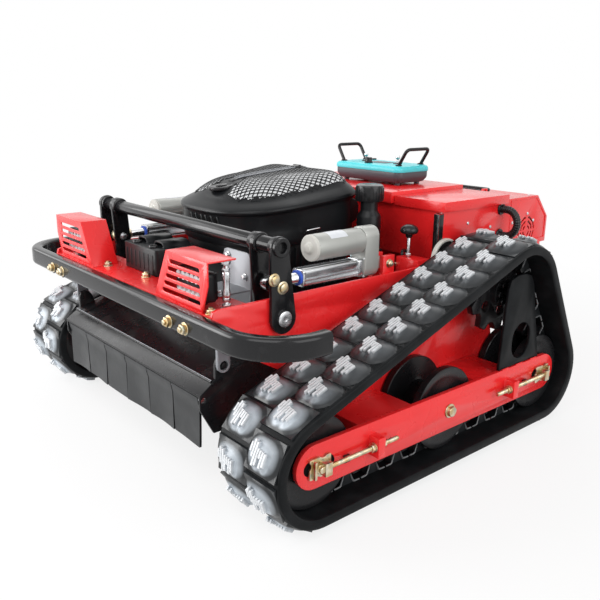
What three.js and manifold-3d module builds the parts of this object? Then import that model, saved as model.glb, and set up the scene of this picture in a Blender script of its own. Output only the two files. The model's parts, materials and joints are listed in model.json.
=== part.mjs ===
// Remote control slope mower: tracked chassis, lifting deck with the engine on it, control box and remote.
// Millimetres, +Z up, the front faces -Y and the right-hand side is +X. The origin is on the ground,
// under the middle of the machine's bounding box. Right-hand pieces are drawn first and mirrored.
import * as THREE from 'three';
import { mergeVertices } from 'three/addons/utils/BufferGeometryUtils.js';
import Module from 'manifold-3d';

const wasm = await Module();
wasm.setup();

// Clearances and overruns
const gap = 0.3;            // between pieces that rest on each other
const runGap = 0.6;         // between a turning roller and the belt round it
const overrun = 2;          // how far a cutting tool passes the face that it cuts

// Overall places
const frontY = -542;        // front face of the bumper
const rearY = 542;          // rear face of the control box

// Tracks
const trackCentreX = 451;
const beltWidth = 180;
const beltThickness = 20;
const lugHeight = 16;
const lugLength = 44;
const lugWidth = 66;
const lugGroove = 14;       // smooth band between the two columns of lugs
const lugPitch = 72;
const hornHeight = 24;
const hornLength = 26;
const hornInner = 14;       // half the free lane that the sprocket plate runs in
const hornOuter = 30;
const rollerRadius = 90;
const rollerHalfWidth = 51;
const rollerRimInner = 34;
const rollerHub = 40;
const axleRadius = 10;
const frontAxleY = -410;
const midAxleY = -46;
const rearAxleY = 292;
const sprocketY = 174;
const sprocketZ = 335;
const sprocketSeat = 94;    // radius of the belt's inner face over the sprocket
const sprocketRoot = 74;
const sprocketPlate = 16;
const sprocketHoleRadius = 14;
const sprocketHoleCircle = 50;
const sprocketHoles = 5;
const sprocketHub = 32;
const sprocketHubLength = 24;
const sprocketTeeth = 9;
const driveShaftRadius = 17;
const shaftEntry = 26;      // how far the shaft reaches into the gearmotor
const driveMotorRadius = 52;
const driveMotorLength = 150;
const axleZ = rollerRadius + beltThickness + lugHeight;

// Track frame
const barReach = 64;        // from the belt's middle out to the outer bar's outer face
const innerBarReach = 54;   // from the belt's middle in to the inner bar's face
const barOuterX = trackCentreX + barReach;
const innerBarX = trackCentreX - innerBarReach;
const barThickness = 10;
const barHeight = 86;
const barFrontY = -461;
const barRearY = 347;
const slotTravel = 12;      // how far an axle can be slackened
const slotSpare = 4;
const webClear = 12;        // from a roller to the cross boxes
const webHeight = 56;
const stubZ = 212;
const stubHeight = 34;
const stubLength = 64;
const stubFrontY = -200;
const stubMidY = 25;
const stubRearY = 185;
const wingRise = 150;       // how far the inner plate rises above the bar
const wingFrontY = -300;
const wingKneeY = -240;
const wingKneeZ = 252;
const wingTopFrontY = 70;
const wingTopRearY = 225;
const wingRearY = 262;
const wingHole = 46;
const tensionBlockLength = 40;
const tensionBlockHeight = 34;
const tensionBlockDepth = 16;
const studRadius = 5;
const studReach = 190;      // from the axle to the end of the stud
const studBracketAt = 135;  // from the axle to the bracket's middle
const studBracketLength = 18;
const studBracketHeight = 40;
const studBracketDepth = 26;
const studOffsetX = 14;     // stud's axis outside the bar

// Sprocket guard
const guardThickness = 7;
const guardFootFrontY = 126;
const guardFootRearY = 281;
const guardTopZ = 381;
const guardTopFrontY = 140;
const guardTopRearY = 228;
const guardCorner = 30;
const guardArchWidth = 70;
const guardArchHeight = 84;

// Hull
const hullX = 345;          // outer face of the side walls
const hullWall = 6;
const hullTopZ = 388;
const hullBottomZ = 205;
const hullNoseZ = 330;
const hullChinY = -300;
const hullCorner = 24;
const shelfZ = 376;         // top of the front shelf
const shelfThickness = 4;
const shelfRearY = -412;
const hullFloorZ = 215;
const hullFloorFrontY = 200;
const hullSkirtRearY = 520;
const crossBeamY = 180;
const crossBeamSize = 40;
const crossBeamZ = 205;
const deckHingeY = 146;
const deckHingeZ = 235;
const deckHingeRadius = 9;
const deckHingeX = 215;
const deckHingeLug = 14;
const actuatorBracketY = -54;
const actuatorBracketLength = 34;
const actuatorBracketWidth = 12;

// Bumper
const bumperTopZ = 377;
const bumperHeight = 42;
const bumperDepth = 28;
const bumperHalfWidth = 535;
const bumperRadius = 120;
const bumperTail = 22;

// Lamp guards and lamps
const lampGuardInnerX = 142;
const lampGuardOuterX = 312;
const lampGuardKinkX = 332;
const lampGuardTopInnerX = 191;
const lampGuardFrontY = -512;
const lampGuardDepth = 62;
const lampGuardTopZ = 472;
const lampGuardKinkZ = 430;
const lampGuardSheet = 3;
const lampSlotHeight = 8;
const lampSlotPitch = 15;
const lampSlotFirstZ = 393;
const lampSlotInset = 22;
const lampSlots = 5;
const lampWidth = 100;
const lampHeight = 58;
const lampDepth = 34;
const lampStandoff = 9;
const lampFoot = 10;

// Lift linkage
const pivotY = -359;
const pivotZ = 347;
const pivotRadius = 10;
const pivotHead = 15;
const pivotHeadHeight = 5;
const tubeRadius = 15;
const tubeBossRadius = 20;
const tubeY = -369;
const tubeZ = 485;
const armThickness = 8;
const armLowWidth = 58;
const armTopWidth = 40;
const armOuterX = 347;      // inner face of the outer arm
const armInnerX = 285;      // inner face of the inner arm
const armPinY = -363;
const armPinZ = 408;
const armPinRadius = 6;
const armFoot = 30;
const crankReach = 110;
const crankDrop = 10;
const crankWidth = 26;
const crankX = 320;
const crankThickness = 8;
const linkLength = 70;
const linkWidth = 28;
const linkThickness = 7;
const linkPinRadius = 6;
const linkPlay = 3.2;       // free play at the link's lower, open pivot
const eyePlay = 2.6;        // free play where the actuator rod meets the arm

// Actuators
const actuatorX = 312;
const actuatorTube = 17;    // half the square extrusion
const actuatorTubeFrontY = -290;
const gearboxFrontY = -126;
const gearboxRearY = -86;
const gearboxWidth = 46;
const gearboxBottomZ = 384;
const gearboxTopZ = 492;
const motorRadius = 27;
const motorZ = 463;
const motorFrontY = -262;
const motorCapLength = 10;
const motorBoss = 10;
const motorBossLength = 8;
const rodRadius = 11;
const rodBoreClear = 0.7;
const rodEyeRadius = 15;
const rodEyeWidth = 18;
const rodTail = 120;        // rod length that stays inside the tube
const actuatorClevisWidth = 22;

// Deck
const deckHalfWidth = 305;
const deckFrontY = -518;
const deckLipZ = 216;
const deckShoulderY = -489;
const deckShoulderZ = 236;
const deckSlopeY = -400;
const deckTopZ = 262;
const deckRearY = 124;
const deckSkirtZ = 132;
const deckSheet = 5;
const doublerRise = 3;      // height of the plate under each link's lug
const doublerShare = 0.85;  // where that plate starts, against half the deck's width
const flapDrop = 104;
const flapThickness = 5;
const flapRod = 5;
const flapY = -510;
const flapZ = 204;
const flapStrips = 6;
const flapSlit = 3;
const flapClear = 4;

// Engine
const engineX = -8;
const engineHalfWidth = 176;
const engineFrontY = -316;
const engineRearY = 40;
const engineNoseRadius = 168;
const engineTailRadius = 70;
const coverSkirtZ = 462;
const coverRimFrontZ = 500;
const coverTopZ = 588;
const coverWall = 6;
const coverDomeInset = 26;
const blockZ = 274;
const blockInset = 14;
const shaftRadius = 14;
const shaftBottomZ = 150;
const engineY = -160;       // crankshaft's axis
const coverRise = 30;       // how much higher the rim is at the back
const engineFlange = 120;
const fillerX = 206;
const fillerY = 12;
const fillerRadius = 28;
const fillerNeckRadius = 20;
const fillerBottomZ = 412;
const fillerShoulderZ = 500;
const fillerTopZ = 540;
const fillerArmHeight = 14;
const fillerArmHalf = 24;
const fuelCapRadius = 32;
const fuelCapTopZ = 560;
const fuelCapSkirt = 18;
const mufflerX = -206;
const mufflerRadius = 26;
const mufflerFrontY = -190;
const mufflerRearY = -10;
const mufflerZ = 400;
const mufflerPort = 12;

// Blade
const bladeRadius = 268;
const bladeWidth = 60;
const bladeThickness = 6;
const bladeBossRadius = 34;
const bladeBossHeight = 30;
const bladeLift = 16;

// Small pieces in front of the engine
const frontBoxX0 = -115;
const frontBoxX1 = 30;
const frontBoxFrontY = -446;
const frontBoxRearY = -338;
const frontBoxTopZ = 434;
const gripHeight = 12;
const gripInset = 14;
const shieldX0 = 150;
const shieldX1 = 243;
const shieldY = -352;
const shieldZ = 330;
const shieldFootY = -430;
const shieldTopZ = 452;
const shieldThickness = 3;
const stayX = 316;
const stayY = -462;
const stayRadius = 5;
const stayBodyRadius = 8;
const stayFootRadius = 11;
const stayFootHeight = 6;

// Control box
const boxX = 345;
const boxFrontY = 111;
const boxTopZ = 513;
const boxSheet = 3;
const boxSlopeY = 490;
const boxSlopeZ = 455;
const hoodX0 = -250;
const hoodX1 = 195;
const hoodFrontY = 98;
const hoodRearY = 372;
const hoodTopZ = 534;
const hoodWaist = 22;
const hoodLip = 26;
const lidX0 = 199;
const lidX1 = 351;
const lidFrontY = 105;
const lidRearY = 352;
const lidTopZ = 526;
const lidSkirt = 22;
const lidHingeRadius = 5;
const lidMouthInset = 16;
const ventY = 448;
const ventZ = 425;
const ventRadius = 38;
const ventSlot = 5;
const ventPitch = 11;
const ventRings = 3;
const postSize = 16;
const postTopZ = 500;
const handleX0 = 118;
const handleX1 = 240;
const handleY = 408;
const handleRod = 5;
const handleReach = 34;
const handleEar = 6;
const handleEarHeight = 12;
const discY = 118;
const discZ = 398;
const discRadius = 46;
const discThickness = 10;
const chokeX = 296;
const chokeY = 52;
const chokeBaseZ = 366;
const chokeBaseTopZ = 402;
const chokeBaseSize = 38;
const chokeKnobZ = 468;
const chokeKnobRadius = 21;
const chokeStemRadius = 4;
const hoseRadius = 9;
const hoseBore = 6.5;
const hoseRib = 1.2;
const hoseRibs = 15;
const hoseY = 330;
const hoseTopZ = 492;
const hoseBottomZ = 428;
const hoseBulge = 30;
const hoseTail = 12;        // how far the hose reaches into the box

// Remote controller
const remoteX0 = -108;
const remoteX1 = 132;
const remoteFrontY = 190;
const remoteRearY = 316;
const remoteSeatZ = 540;
const remoteSplitZ = 568;
const remoteTopZ = 584;
const remoteCorner = 20;
const remoteFootHeight = 5;
const remoteFootInset = 26;
const loopRod = 4.5;
const loopHeight = 42;
const loopLean = 26;
const loopInset = 20;
const loopSpan = 84;
const loopCorner = 12;
const loopSteps = 10;
const stickRadius = 2.5;
const stickBall = 4.5;
const stickDepth = 4;       // from the remote's face down to the ball's centre
const stickClear = 0.5;
const stickHeight = 22;
const stickTip = 6;
const stickInset = 62;
const knobRadius = 11;
const knobHeight = 14;
const knobX = 2;
const knobY = 214;

// Small facts that the pieces share
const beltHalf = beltWidth / 2;
const lugPhaseShare = 0.14; // keeps whole lugs at both ends of the run on the ground
const lugTopShare = 0.72;   // width of a lug's top against its base
const hullNoseY = frontY + bumperDepth + gap;
const fine = 32;            // facets round a large circle
const coarse = 10;          // facets round a small one
const cornerFacets = 2;     // facets in a rounded corner
const broadFacets = 6;      // facets in a quarter of a large arc
const mediumFacets = 16;
const rollerFacets = 16;
const planFacets = 3;       // facets in each corner of the engine's plan
const pinFacets = 8;

// Turns a three.js geometry into a solid that can be cut and joined
function solid(geometry) {
  const plain = geometry.clone();
  plain.deleteAttribute('normal');
  plain.deleteAttribute('uv');
  const merged = mergeVertices(plain);
  const kept = [];
  const index = merged.index.array;
  for (let i = 0; i < index.length; i += 3) {
    const [a, b, c] = [index[i], index[i + 1], index[i + 2]];
    if (a !== b && b !== c && c !== a) kept.push(a, b, c);
  }
  const data = {
    numProp: 3,
    vertProperties: Float32Array.from(merged.attributes.position.array),
    triVerts: Uint32Array.from(kept),
  };
  return new wasm.Manifold(new wasm.Mesh(data));
}

// Gives a solid back as a geometry
function geometryOf(body) {
  const mesh = body.getMesh();
  const geometry = new THREE.BufferGeometry();
  geometry.setAttribute('position', new THREE.BufferAttribute(Float32Array.from(mesh.vertProperties), 3));
  geometry.setIndex(new THREE.BufferAttribute(Uint32Array.from(mesh.triVerts), 1));
  return geometry;
}

function join(bodies) {
  return bodies.reduce((sum, body) => sum.add(body));
}

function cut(body, tools) {
  return tools.reduce((rest, tool) => rest.subtract(tool), body);
}

// The same solid on the other side of the machine
function mirrored(body) {
  const geometry = geometryOf(body);
  geometry.scale(-1, 1, 1);
  const index = geometry.index.array;
  for (let i = 0; i < index.length; i += 3) {
    const kept = index[i];
    index[i] = index[i + 1];
    index[i + 1] = kept;
  }
  return solid(geometry);
}

// A box between two corners
function block(x0, x1, y0, y1, z0, z1) {
  const geometry = new THREE.BoxGeometry(x1 - x0, y1 - y0, z1 - z0);
  geometry.translate((x0 + x1) / 2, (y0 + y1) / 2, (z0 + z1) / 2);
  return solid(geometry);
}

// Turns a shape drawn across an axis so that its depth runs along that axis.
// The shape's two coordinates are (y, z) for x, (x, z) for y and (x, y) for z.
function alongAxis(geometry, axis, start, depth) {
  const turn = new THREE.Matrix4();
  if (axis === 'x') {
    turn.set(0, 0, 1, start, 1, 0, 0, 0, 0, 1, 0, 0, 0, 0, 0, 1);
  } else if (axis === 'y') {
    turn.set(1, 0, 0, 0, 0, 0, -1, start + depth, 0, 1, 0, 0, 0, 0, 0, 1);
  } else {
    turn.makeTranslation(0, 0, start);
  }
  geometry.applyMatrix4(turn);
  return geometry;
}

// A flat piece: an outline given depth along an axis
function slab(axis, outline, start, end, facets = cornerFacets) {
  const shape = Array.isArray(outline) ? new THREE.Shape(outline.map(([u, v]) => new THREE.Vector2(u, v))) : outline;
  const options = { depth: end - start, bevelEnabled: false, curveSegments: facets };
  return solid(alongAxis(new THREE.ExtrudeGeometry(shape, options), axis, start, end - start));
}

// An outline whose corners are rounded by the radii given with its points
function rounded(points) {
  const shape = new THREE.Shape();
  points.forEach(([u, v, radius = 0], i) => {
    const before = points[(i + points.length - 1) % points.length];
    const after = points[(i + 1) % points.length];
    const inward = new THREE.Vector2(before[0] - u, before[1] - v).normalize().multiplyScalar(radius);
    const outward = new THREE.Vector2(after[0] - u, after[1] - v).normalize().multiplyScalar(radius);
    if (i === 0) shape.moveTo(u + inward.x, v + inward.y);
    else shape.lineTo(u + inward.x, v + inward.y);
    if (radius > 0) shape.quadraticCurveTo(u, v, u + outward.x, v + outward.y);
  });
  shape.closePath();
  return shape;
}

// A rectangle with round corners, as points
function roundedRectangle(u0, u1, v0, v1, radius, facets = cornerFacets) {
  const r = Math.min(radius, (u1 - u0) / 2, (v1 - v0) / 2);
  const points = [];
  [[u1 - r, v1 - r], [u0 + r, v1 - r], [u0 + r, v0 + r], [u1 - r, v0 + r]].forEach(([u, v], quarter) => {
    for (let i = 0; i <= facets; i += 1) {
      const angle = ((quarter + i / facets) * Math.PI) / 2;
      points.push([u + r * Math.cos(angle), v + r * Math.sin(angle)]);
    }
  });
  return points;
}

function disc(u, v, radius) {
  const shape = new THREE.Shape();
  shape.absarc(u, v, radius, 0, 2 * Math.PI);
  return shape;
}

// The corners of a regular polygon, turned by a share of one of its facets
function polygon(u, v, radius, facets, turnShare = 0) {
  return Array.from({ length: facets }, (_, i) => {
    const angle = (2 * Math.PI * (i + turnShare)) / facets;
    return [u + radius * Math.cos(angle), v + radius * Math.sin(angle)];
  });
}

// A round bar along an axis, centred on the two other coordinates
function bar(axis, u, v, radius, start, end, facets = coarse) {
  return slab(axis, polygon(u, v, radius, facets), start, end);
}

// A tool for a round hole: its flats, not its corners, lie at the radius and face the corners of the bar in it
function hole(axis, u, v, radius, start, end, facets = coarse) {
  return slab(axis, polygon(u, v, radius / Math.cos(Math.PI / facets), facets, 1 / 2), start, end);
}

// A turned piece: a profile of [radius, place] pairs swept round an axis
function turned(axis, u, v, profile, facets = fine) {
  const points = profile.map(([r, h]) => new THREE.Vector2(r, h));
  if (THREE.ShapeUtils.area(points) < 0) points.reverse();
  const geometry = new THREE.LatheGeometry(points, facets);
  const turn = new THREE.Matrix4();
  if (axis === 'x') turn.set(0, 1, 0, 0, 1, 0, 0, u, 0, 0, -1, v, 0, 0, 0, 1);
  else if (axis === 'y') turn.set(1, 0, 0, u, 0, 1, 0, 0, 0, 0, 1, v, 0, 0, 0, 1);
  else turn.set(1, 0, 0, u, 0, 0, -1, v, 0, 1, 0, 0, 0, 0, 0, 1);
  geometry.applyMatrix4(turn);
  return solid(geometry);
}

// A bar of any section bent along a path
function bent(path, section, steps) {
  const geometry = new THREE.ExtrudeGeometry(section, { steps, bevelEnabled: false, extrudePath: path, curveSegments: 3 });
  return solid(geometry);
}

// A block whose top is smaller than its base, standing on a local frame
function stud(origin, along, across, up, base, top, height) {
  const corners = [];
  for (const [[length, width], rise] of [[base, 0], [top, height]]) {
    for (const [i, j] of [[-1, -1], [1, -1], [1, 1], [-1, 1]]) {
      const corner = origin.clone();
      corner.addScaledVector(along, (i * length) / 2);
      corner.addScaledVector(across, (j * width) / 2);
      corner.addScaledVector(up, rise);
      corners.push(corner);
    }
  }
  const faces = [0, 2, 1, 0, 3, 2, 4, 5, 6, 4, 6, 7, 0, 1, 5, 0, 5, 4, 1, 2, 6, 1, 6, 5, 2, 3, 7, 2, 7, 6, 3, 0, 4, 3, 4, 7];
  const geometry = new THREE.BufferGeometry().setFromPoints(corners);
  geometry.setIndex(faces);
  return solid(geometry);
}

// The belt's route round the front roller, the rear roller and the sprocket
const wheels = [
  { y: frontAxleY, z: axleZ, r: rollerRadius },
  { y: rearAxleY, z: axleZ, r: rollerRadius },
  { y: sprocketY, z: sprocketZ, r: sprocketSeat },
];

// Directions, as angles from the wheel centres, in which the belt leaves one wheel for the next
function leavingAngles() {
  return wheels.map((wheel, i) => {
    const next = wheels[(i + 1) % wheels.length];
    const heading = Math.atan2(next.z - wheel.z, next.y - wheel.y);
    const distance = Math.hypot(next.z - wheel.z, next.y - wheel.y);
    return heading - Math.PI / 2 + Math.asin((next.r - wheel.r) / distance) * -1;
  });
}

// The route at a distance outside the belt's inner face, as arcs and straight runs
function beltRoute(offset) {
  const leave = leavingAngles();
  const pieces = [];
  wheels.forEach((wheel, i) => {
    const arrive = leave[(i + wheels.length - 1) % wheels.length];
    let turn = leave[i] - arrive;
    while (turn < 0) turn += 2 * Math.PI;
    const radius = wheel.r + offset;
    pieces.push({ wheel, arrive, turn, radius, length: radius * turn });
    const next = wheels[(i + 1) % wheels.length];
    const from = [wheel.y + radius * Math.cos(leave[i]), wheel.z + radius * Math.sin(leave[i])];
    const far = next.r + offset;
    const to = [next.y + far * Math.cos(leave[i]), next.z + far * Math.sin(leave[i])];
    pieces.push({ from, to, angle: leave[i], length: Math.hypot(to[0] - from[0], to[1] - from[1]) });
  });
  return pieces;
}

// Place and outward direction at a distance along a route
function placeAlong(route, distance) {
  let rest = distance;
  for (const piece of route) {
    if (rest <= piece.length) {
      if (piece.wheel) {
        const angle = piece.arrive + rest / piece.radius;
        const y = piece.wheel.y + piece.radius * Math.cos(angle);
        return { y, z: piece.wheel.z + piece.radius * Math.sin(angle), angle };
      }
      const share = rest / piece.length;
      const y = piece.from[0] + (piece.to[0] - piece.from[0]) * share;
      return { y, z: piece.from[1] + (piece.to[1] - piece.from[1]) * share, angle: piece.angle };
    }
    rest -= piece.length;
  }
  return placeAlong(route, 0);
}

// The outline of the belt's face at a distance outside its inner face
function beltOutline(offset) {
  const points = [];
  for (const piece of beltRoute(offset)) {
    if (!piece.wheel) continue;
    const steps = Math.ceil((fine * piece.turn) / (2 * Math.PI));
    for (let i = 0; i <= steps; i += 1) {
      const angle = piece.arrive + (piece.turn * i) / steps;
      points.push([piece.wheel.y + piece.radius * Math.cos(angle), piece.wheel.z + piece.radius * Math.sin(angle)]);
    }
  }
  return points;
}

// Rubber belt with two staggered columns of lugs outside and paired guide horns inside
function makeBelt() {
  const outer = slab('x', beltOutline(beltThickness), trackCentreX - beltHalf, trackCentreX + beltHalf);
  const inner = slab('x', beltOutline(0), trackCentreX - beltHalf - overrun, trackCentreX + beltHalf + overrun);
  const parts = [cut(outer, [inner])];
  const middle = beltRoute(beltThickness / 2);
  const total = middle.reduce((sum, piece) => sum + piece.length, 0);
  const count = Math.round(total / lugPitch);
  const pitch = total / count;
  const across = new THREE.Vector3(1, 0, 0);
  const column = (lugWidth + lugGroove) / 2;
  const root = beltThickness / 4;
  for (let i = 0; i < 2 * count; i += 1) {
    const side = i % 2 === 0 ? 1 : -1;
    const at = placeAlong(middle, (i / 2 + lugPhaseShare) * pitch);
    const up = new THREE.Vector3(0, Math.cos(at.angle), Math.sin(at.angle));
    const along = new THREE.Vector3().crossVectors(across, up);
    const origin = new THREE.Vector3(trackCentreX + side * column, at.y, at.z);
    origin.addScaledVector(up, beltThickness / 2 - root);
    const base = [lugLength, lugWidth];
    parts.push(stud(origin, along, across, up, base, [lugLength / 2, lugWidth * lugTopShare], lugHeight + root));
  }
  for (let i = 0; i < count; i += 1) {
    const at = placeAlong(middle, (i + 1 / 4 + lugPhaseShare) * pitch);
    const up = new THREE.Vector3(0, -Math.cos(at.angle), -Math.sin(at.angle));
    const along = new THREE.Vector3().crossVectors(across, up);
    const width = hornOuter - hornInner;
    for (const side of [-1, 1]) {
      const origin = new THREE.Vector3(trackCentreX + (side * (hornInner + hornOuter)) / 2, at.y, at.z);
      origin.addScaledVector(up, beltThickness / 2 - root);
      parts.push(stud(origin, along, across, up, [hornLength, width], [0, width], hornHeight + root));
    }
  }
  return join(parts);
}

// Spool-shaped roller: two rims that run on the belt outside its horns
function makeRoller(y) {
  const rim = rollerRadius - runGap;
  const bore = axleRadius + runGap;
  const profile = [
    [bore, -rollerHalfWidth], [rim, -rollerHalfWidth], [rim, -rollerRimInner], [rollerHub, -rollerRimInner],
    [rollerHub, rollerRimInner], [rim, rollerRimInner], [rim, rollerHalfWidth], [bore, rollerHalfWidth],
    [bore, -rollerHalfWidth],
  ].map(([r, h]) => [r, trackCentreX + h]);
  return turned('x', y, axleZ, profile, rollerFacets);
}

// Toothed wheel with lightening holes and the shaft that drives it
function makeSprocket() {
  const tip = sprocketSeat - runGap;
  const outline = [];
  for (let i = 0; i < sprocketTeeth; i += 1) {
    for (const [turnShare, radius] of [[-0.36, sprocketRoot], [-0.16, tip], [0.16, tip], [0.36, sprocketRoot]]) {
      const angle = (2 * Math.PI * (i + turnShare)) / sprocketTeeth;
      outline.push([sprocketY + radius * Math.cos(angle), sprocketZ + radius * Math.sin(angle)]);
    }
  }
  const plate = slab('x', outline, trackCentreX - sprocketPlate / 2, trackCentreX + sprocketPlate / 2);
  const holes = [];
  for (let i = 0; i < sprocketHoles; i += 1) {
    const angle = (2 * Math.PI * i) / sprocketHoles;
    const y = sprocketY + sprocketHoleCircle * Math.cos(angle);
    const z = sprocketZ + sprocketHoleCircle * Math.sin(angle);
    holes.push(bar('x', y, z, sprocketHoleRadius, trackCentreX - sprocketPlate, trackCentreX + sprocketPlate, pinFacets));
  }
  const hubStart = trackCentreX - sprocketHubLength;
  const hub = bar('x', sprocketY, sprocketZ, sprocketHub, hubStart, trackCentreX + sprocketHubLength);
  const shaft = bar('x', sprocketY, sprocketZ, driveShaftRadius, motorFaceX - shaftEntry, trackCentreX);
  return cut(join([plate, hub, shaft]), holes);
}

const barTopZ = axleZ + barHeight / 2;
const barBottomZ = axleZ - barHeight / 2;
const barInnerFaceX = barOuterX - barThickness;
const motorFaceX = hullX - hullWall - gap;

// A long hole in which an axle can be moved; it reaches further on the slack side
function axleSlot(y, towards, x0, x1) {
  const half = axleRadius + runGap;
  const ends = [y - towards * slotSpare, y + towards * (slotTravel + slotSpare)];
  const y0 = Math.min(...ends) - half;
  const y1 = Math.max(...ends) + half;
  return slab('x', roundedRectangle(y0, y1, axleZ - half, axleZ + half, half, 3), x0, x1);
}

// Side bars, cross boxes, stubs to the hull, upper inner plate and the stud brackets
function makeTrackFrame() {
  const barOutline = roundedRectangle(barFrontY, barRearY, barBottomZ, barTopZ, barHeight / 2, broadFacets);
  const outerBar = slab('x', barOutline, barInnerFaceX, barOuterX);
  const innerBar = slab('x', barOutline, innerBarX - barThickness, innerBarX);
  const wing = slab('x', rounded([
    [wingFrontY, barBottomZ + barHeight / 2], [wingRearY, barBottomZ + barHeight / 2],
    [wingRearY, barTopZ], [wingTopRearY, barTopZ + wingRise, barHeight / 3],
    [wingTopFrontY, barTopZ + wingRise, barHeight / 3], [wingKneeY, wingKneeZ],
  ]), innerBarX - barThickness, innerBarX);
  const parts = [outerBar, innerBar, wing];
  const reach = rollerRadius + webClear;
  for (const [y0, y1] of [[frontAxleY + reach + slotTravel, midAxleY - reach], [midAxleY + reach, rearAxleY - reach - slotTravel]]) {
    const z1 = barTopZ - webClear / 2;
    parts.push(block(innerBarX - overrun, barInnerFaceX + overrun, y0, y1, z1 - webHeight, z1));
  }
  for (const y of [stubFrontY, stubMidY, stubRearY]) {
    const half = stubLength / 2;
    parts.push(block(hullX + gap, innerBarX - overrun, y - half, y + half, stubZ, stubZ + stubHeight));
  }
  const midAxle = bar('x', midAxleY, axleZ, axleRadius, innerBarX - overrun, barOuterX + axleRadius);
  parts.push(midAxle);
  const holes = [];
  for (const [y, towards] of [[frontAxleY, 1], [rearAxleY, -1]]) {
    const at = y + towards * studBracketAt;
    const half = studBracketLength / 2;
    const z0 = axleZ - studBracketHeight / 2;
    parts.push(block(barOuterX - overrun, barOuterX + studBracketDepth, at - half, at + half, z0, z0 + studBracketHeight));
    holes.push(axleSlot(y, towards, innerBarX - barThickness - overrun, barOuterX + overrun));
    holes.push(hole('y', barOuterX + studOffsetX, axleZ, studRadius + runGap, at - half - overrun, at + half + overrun));
  }
  const shaftHole = bar('x', sprocketY, sprocketZ, wingHole, innerBarX - barThickness - overrun, innerBarX + overrun, mediumFacets);
  holes.push(shaftHole);
  return cut(join(parts), holes);
}

// Axle with its zinc-plated block and adjusting stud
function makeTensioner(y, towards) {
  const blockX0 = barOuterX + gap;
  const axle = bar('x', y, axleZ, axleRadius, innerBarX - barThickness, blockX0 + tensionBlockDepth + axleRadius);
  const half = tensionBlockLength / 2;
  const body = slab('x', roundedRectangle(
    y - half, y + half, axleZ - tensionBlockHeight / 2, axleZ + tensionBlockHeight / 2, studRadius,
  ), blockX0, blockX0 + tensionBlockDepth + studOffsetX / 2);
  const start = Math.min(y, y + towards * studReach);
  const rod = bar('y', barOuterX + studOffsetX, axleZ, studRadius, start, start + studReach);
  return join([axle, body, rod]);
}

// Black plate over the sprocket, standing on the outer bar
function makeSprocketGuard() {
  const x0 = barInnerFaceX;
  const foot = barTopZ + gap;
  const plate = slab('x', rounded([
    [guardFootFrontY, foot], [guardFootRearY, foot], [guardTopRearY, guardTopZ, guardCorner],
    [guardTopFrontY, guardTopZ, guardCorner],
  ]), x0, x0 + guardThickness);
  const middle = (guardFootFrontY + guardFootRearY) / 2;
  const arch = slab('x', roundedRectangle(
    middle - guardArchWidth / 2, middle + guardArchWidth / 2,
    foot + guardThickness * 2, foot + guardThickness * 2 + guardArchHeight, guardArchWidth / 2, 5,
  ), x0 - overrun, x0 + guardThickness + overrun);
  return cut(plate, [arch]);
}

// Gearmotor inside the hull that turns the sprocket
function makeDriveMotor() {
  const back = motorFaceX - driveMotorLength;
  const neck = motorFaceX - driveMotorLength / 4;
  const body = turned('x', sprocketY, sprocketZ, [
    [0, back], [driveMotorRadius * 0.6, back], [driveMotorRadius * 0.78, back + shaftEntry / 2],
    [driveMotorRadius * 0.78, neck], [driveMotorRadius, neck], [driveMotorRadius, motorFaceX], [0, motorFaceX],
  ].reverse(), mediumFacets);
  const bore = hole('x', sprocketY, sprocketZ, driveShaftRadius + runGap, motorFaceX - shaftEntry - overrun, motorFaceX + overrun);
  return cut(body, [bore]);
}

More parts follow.
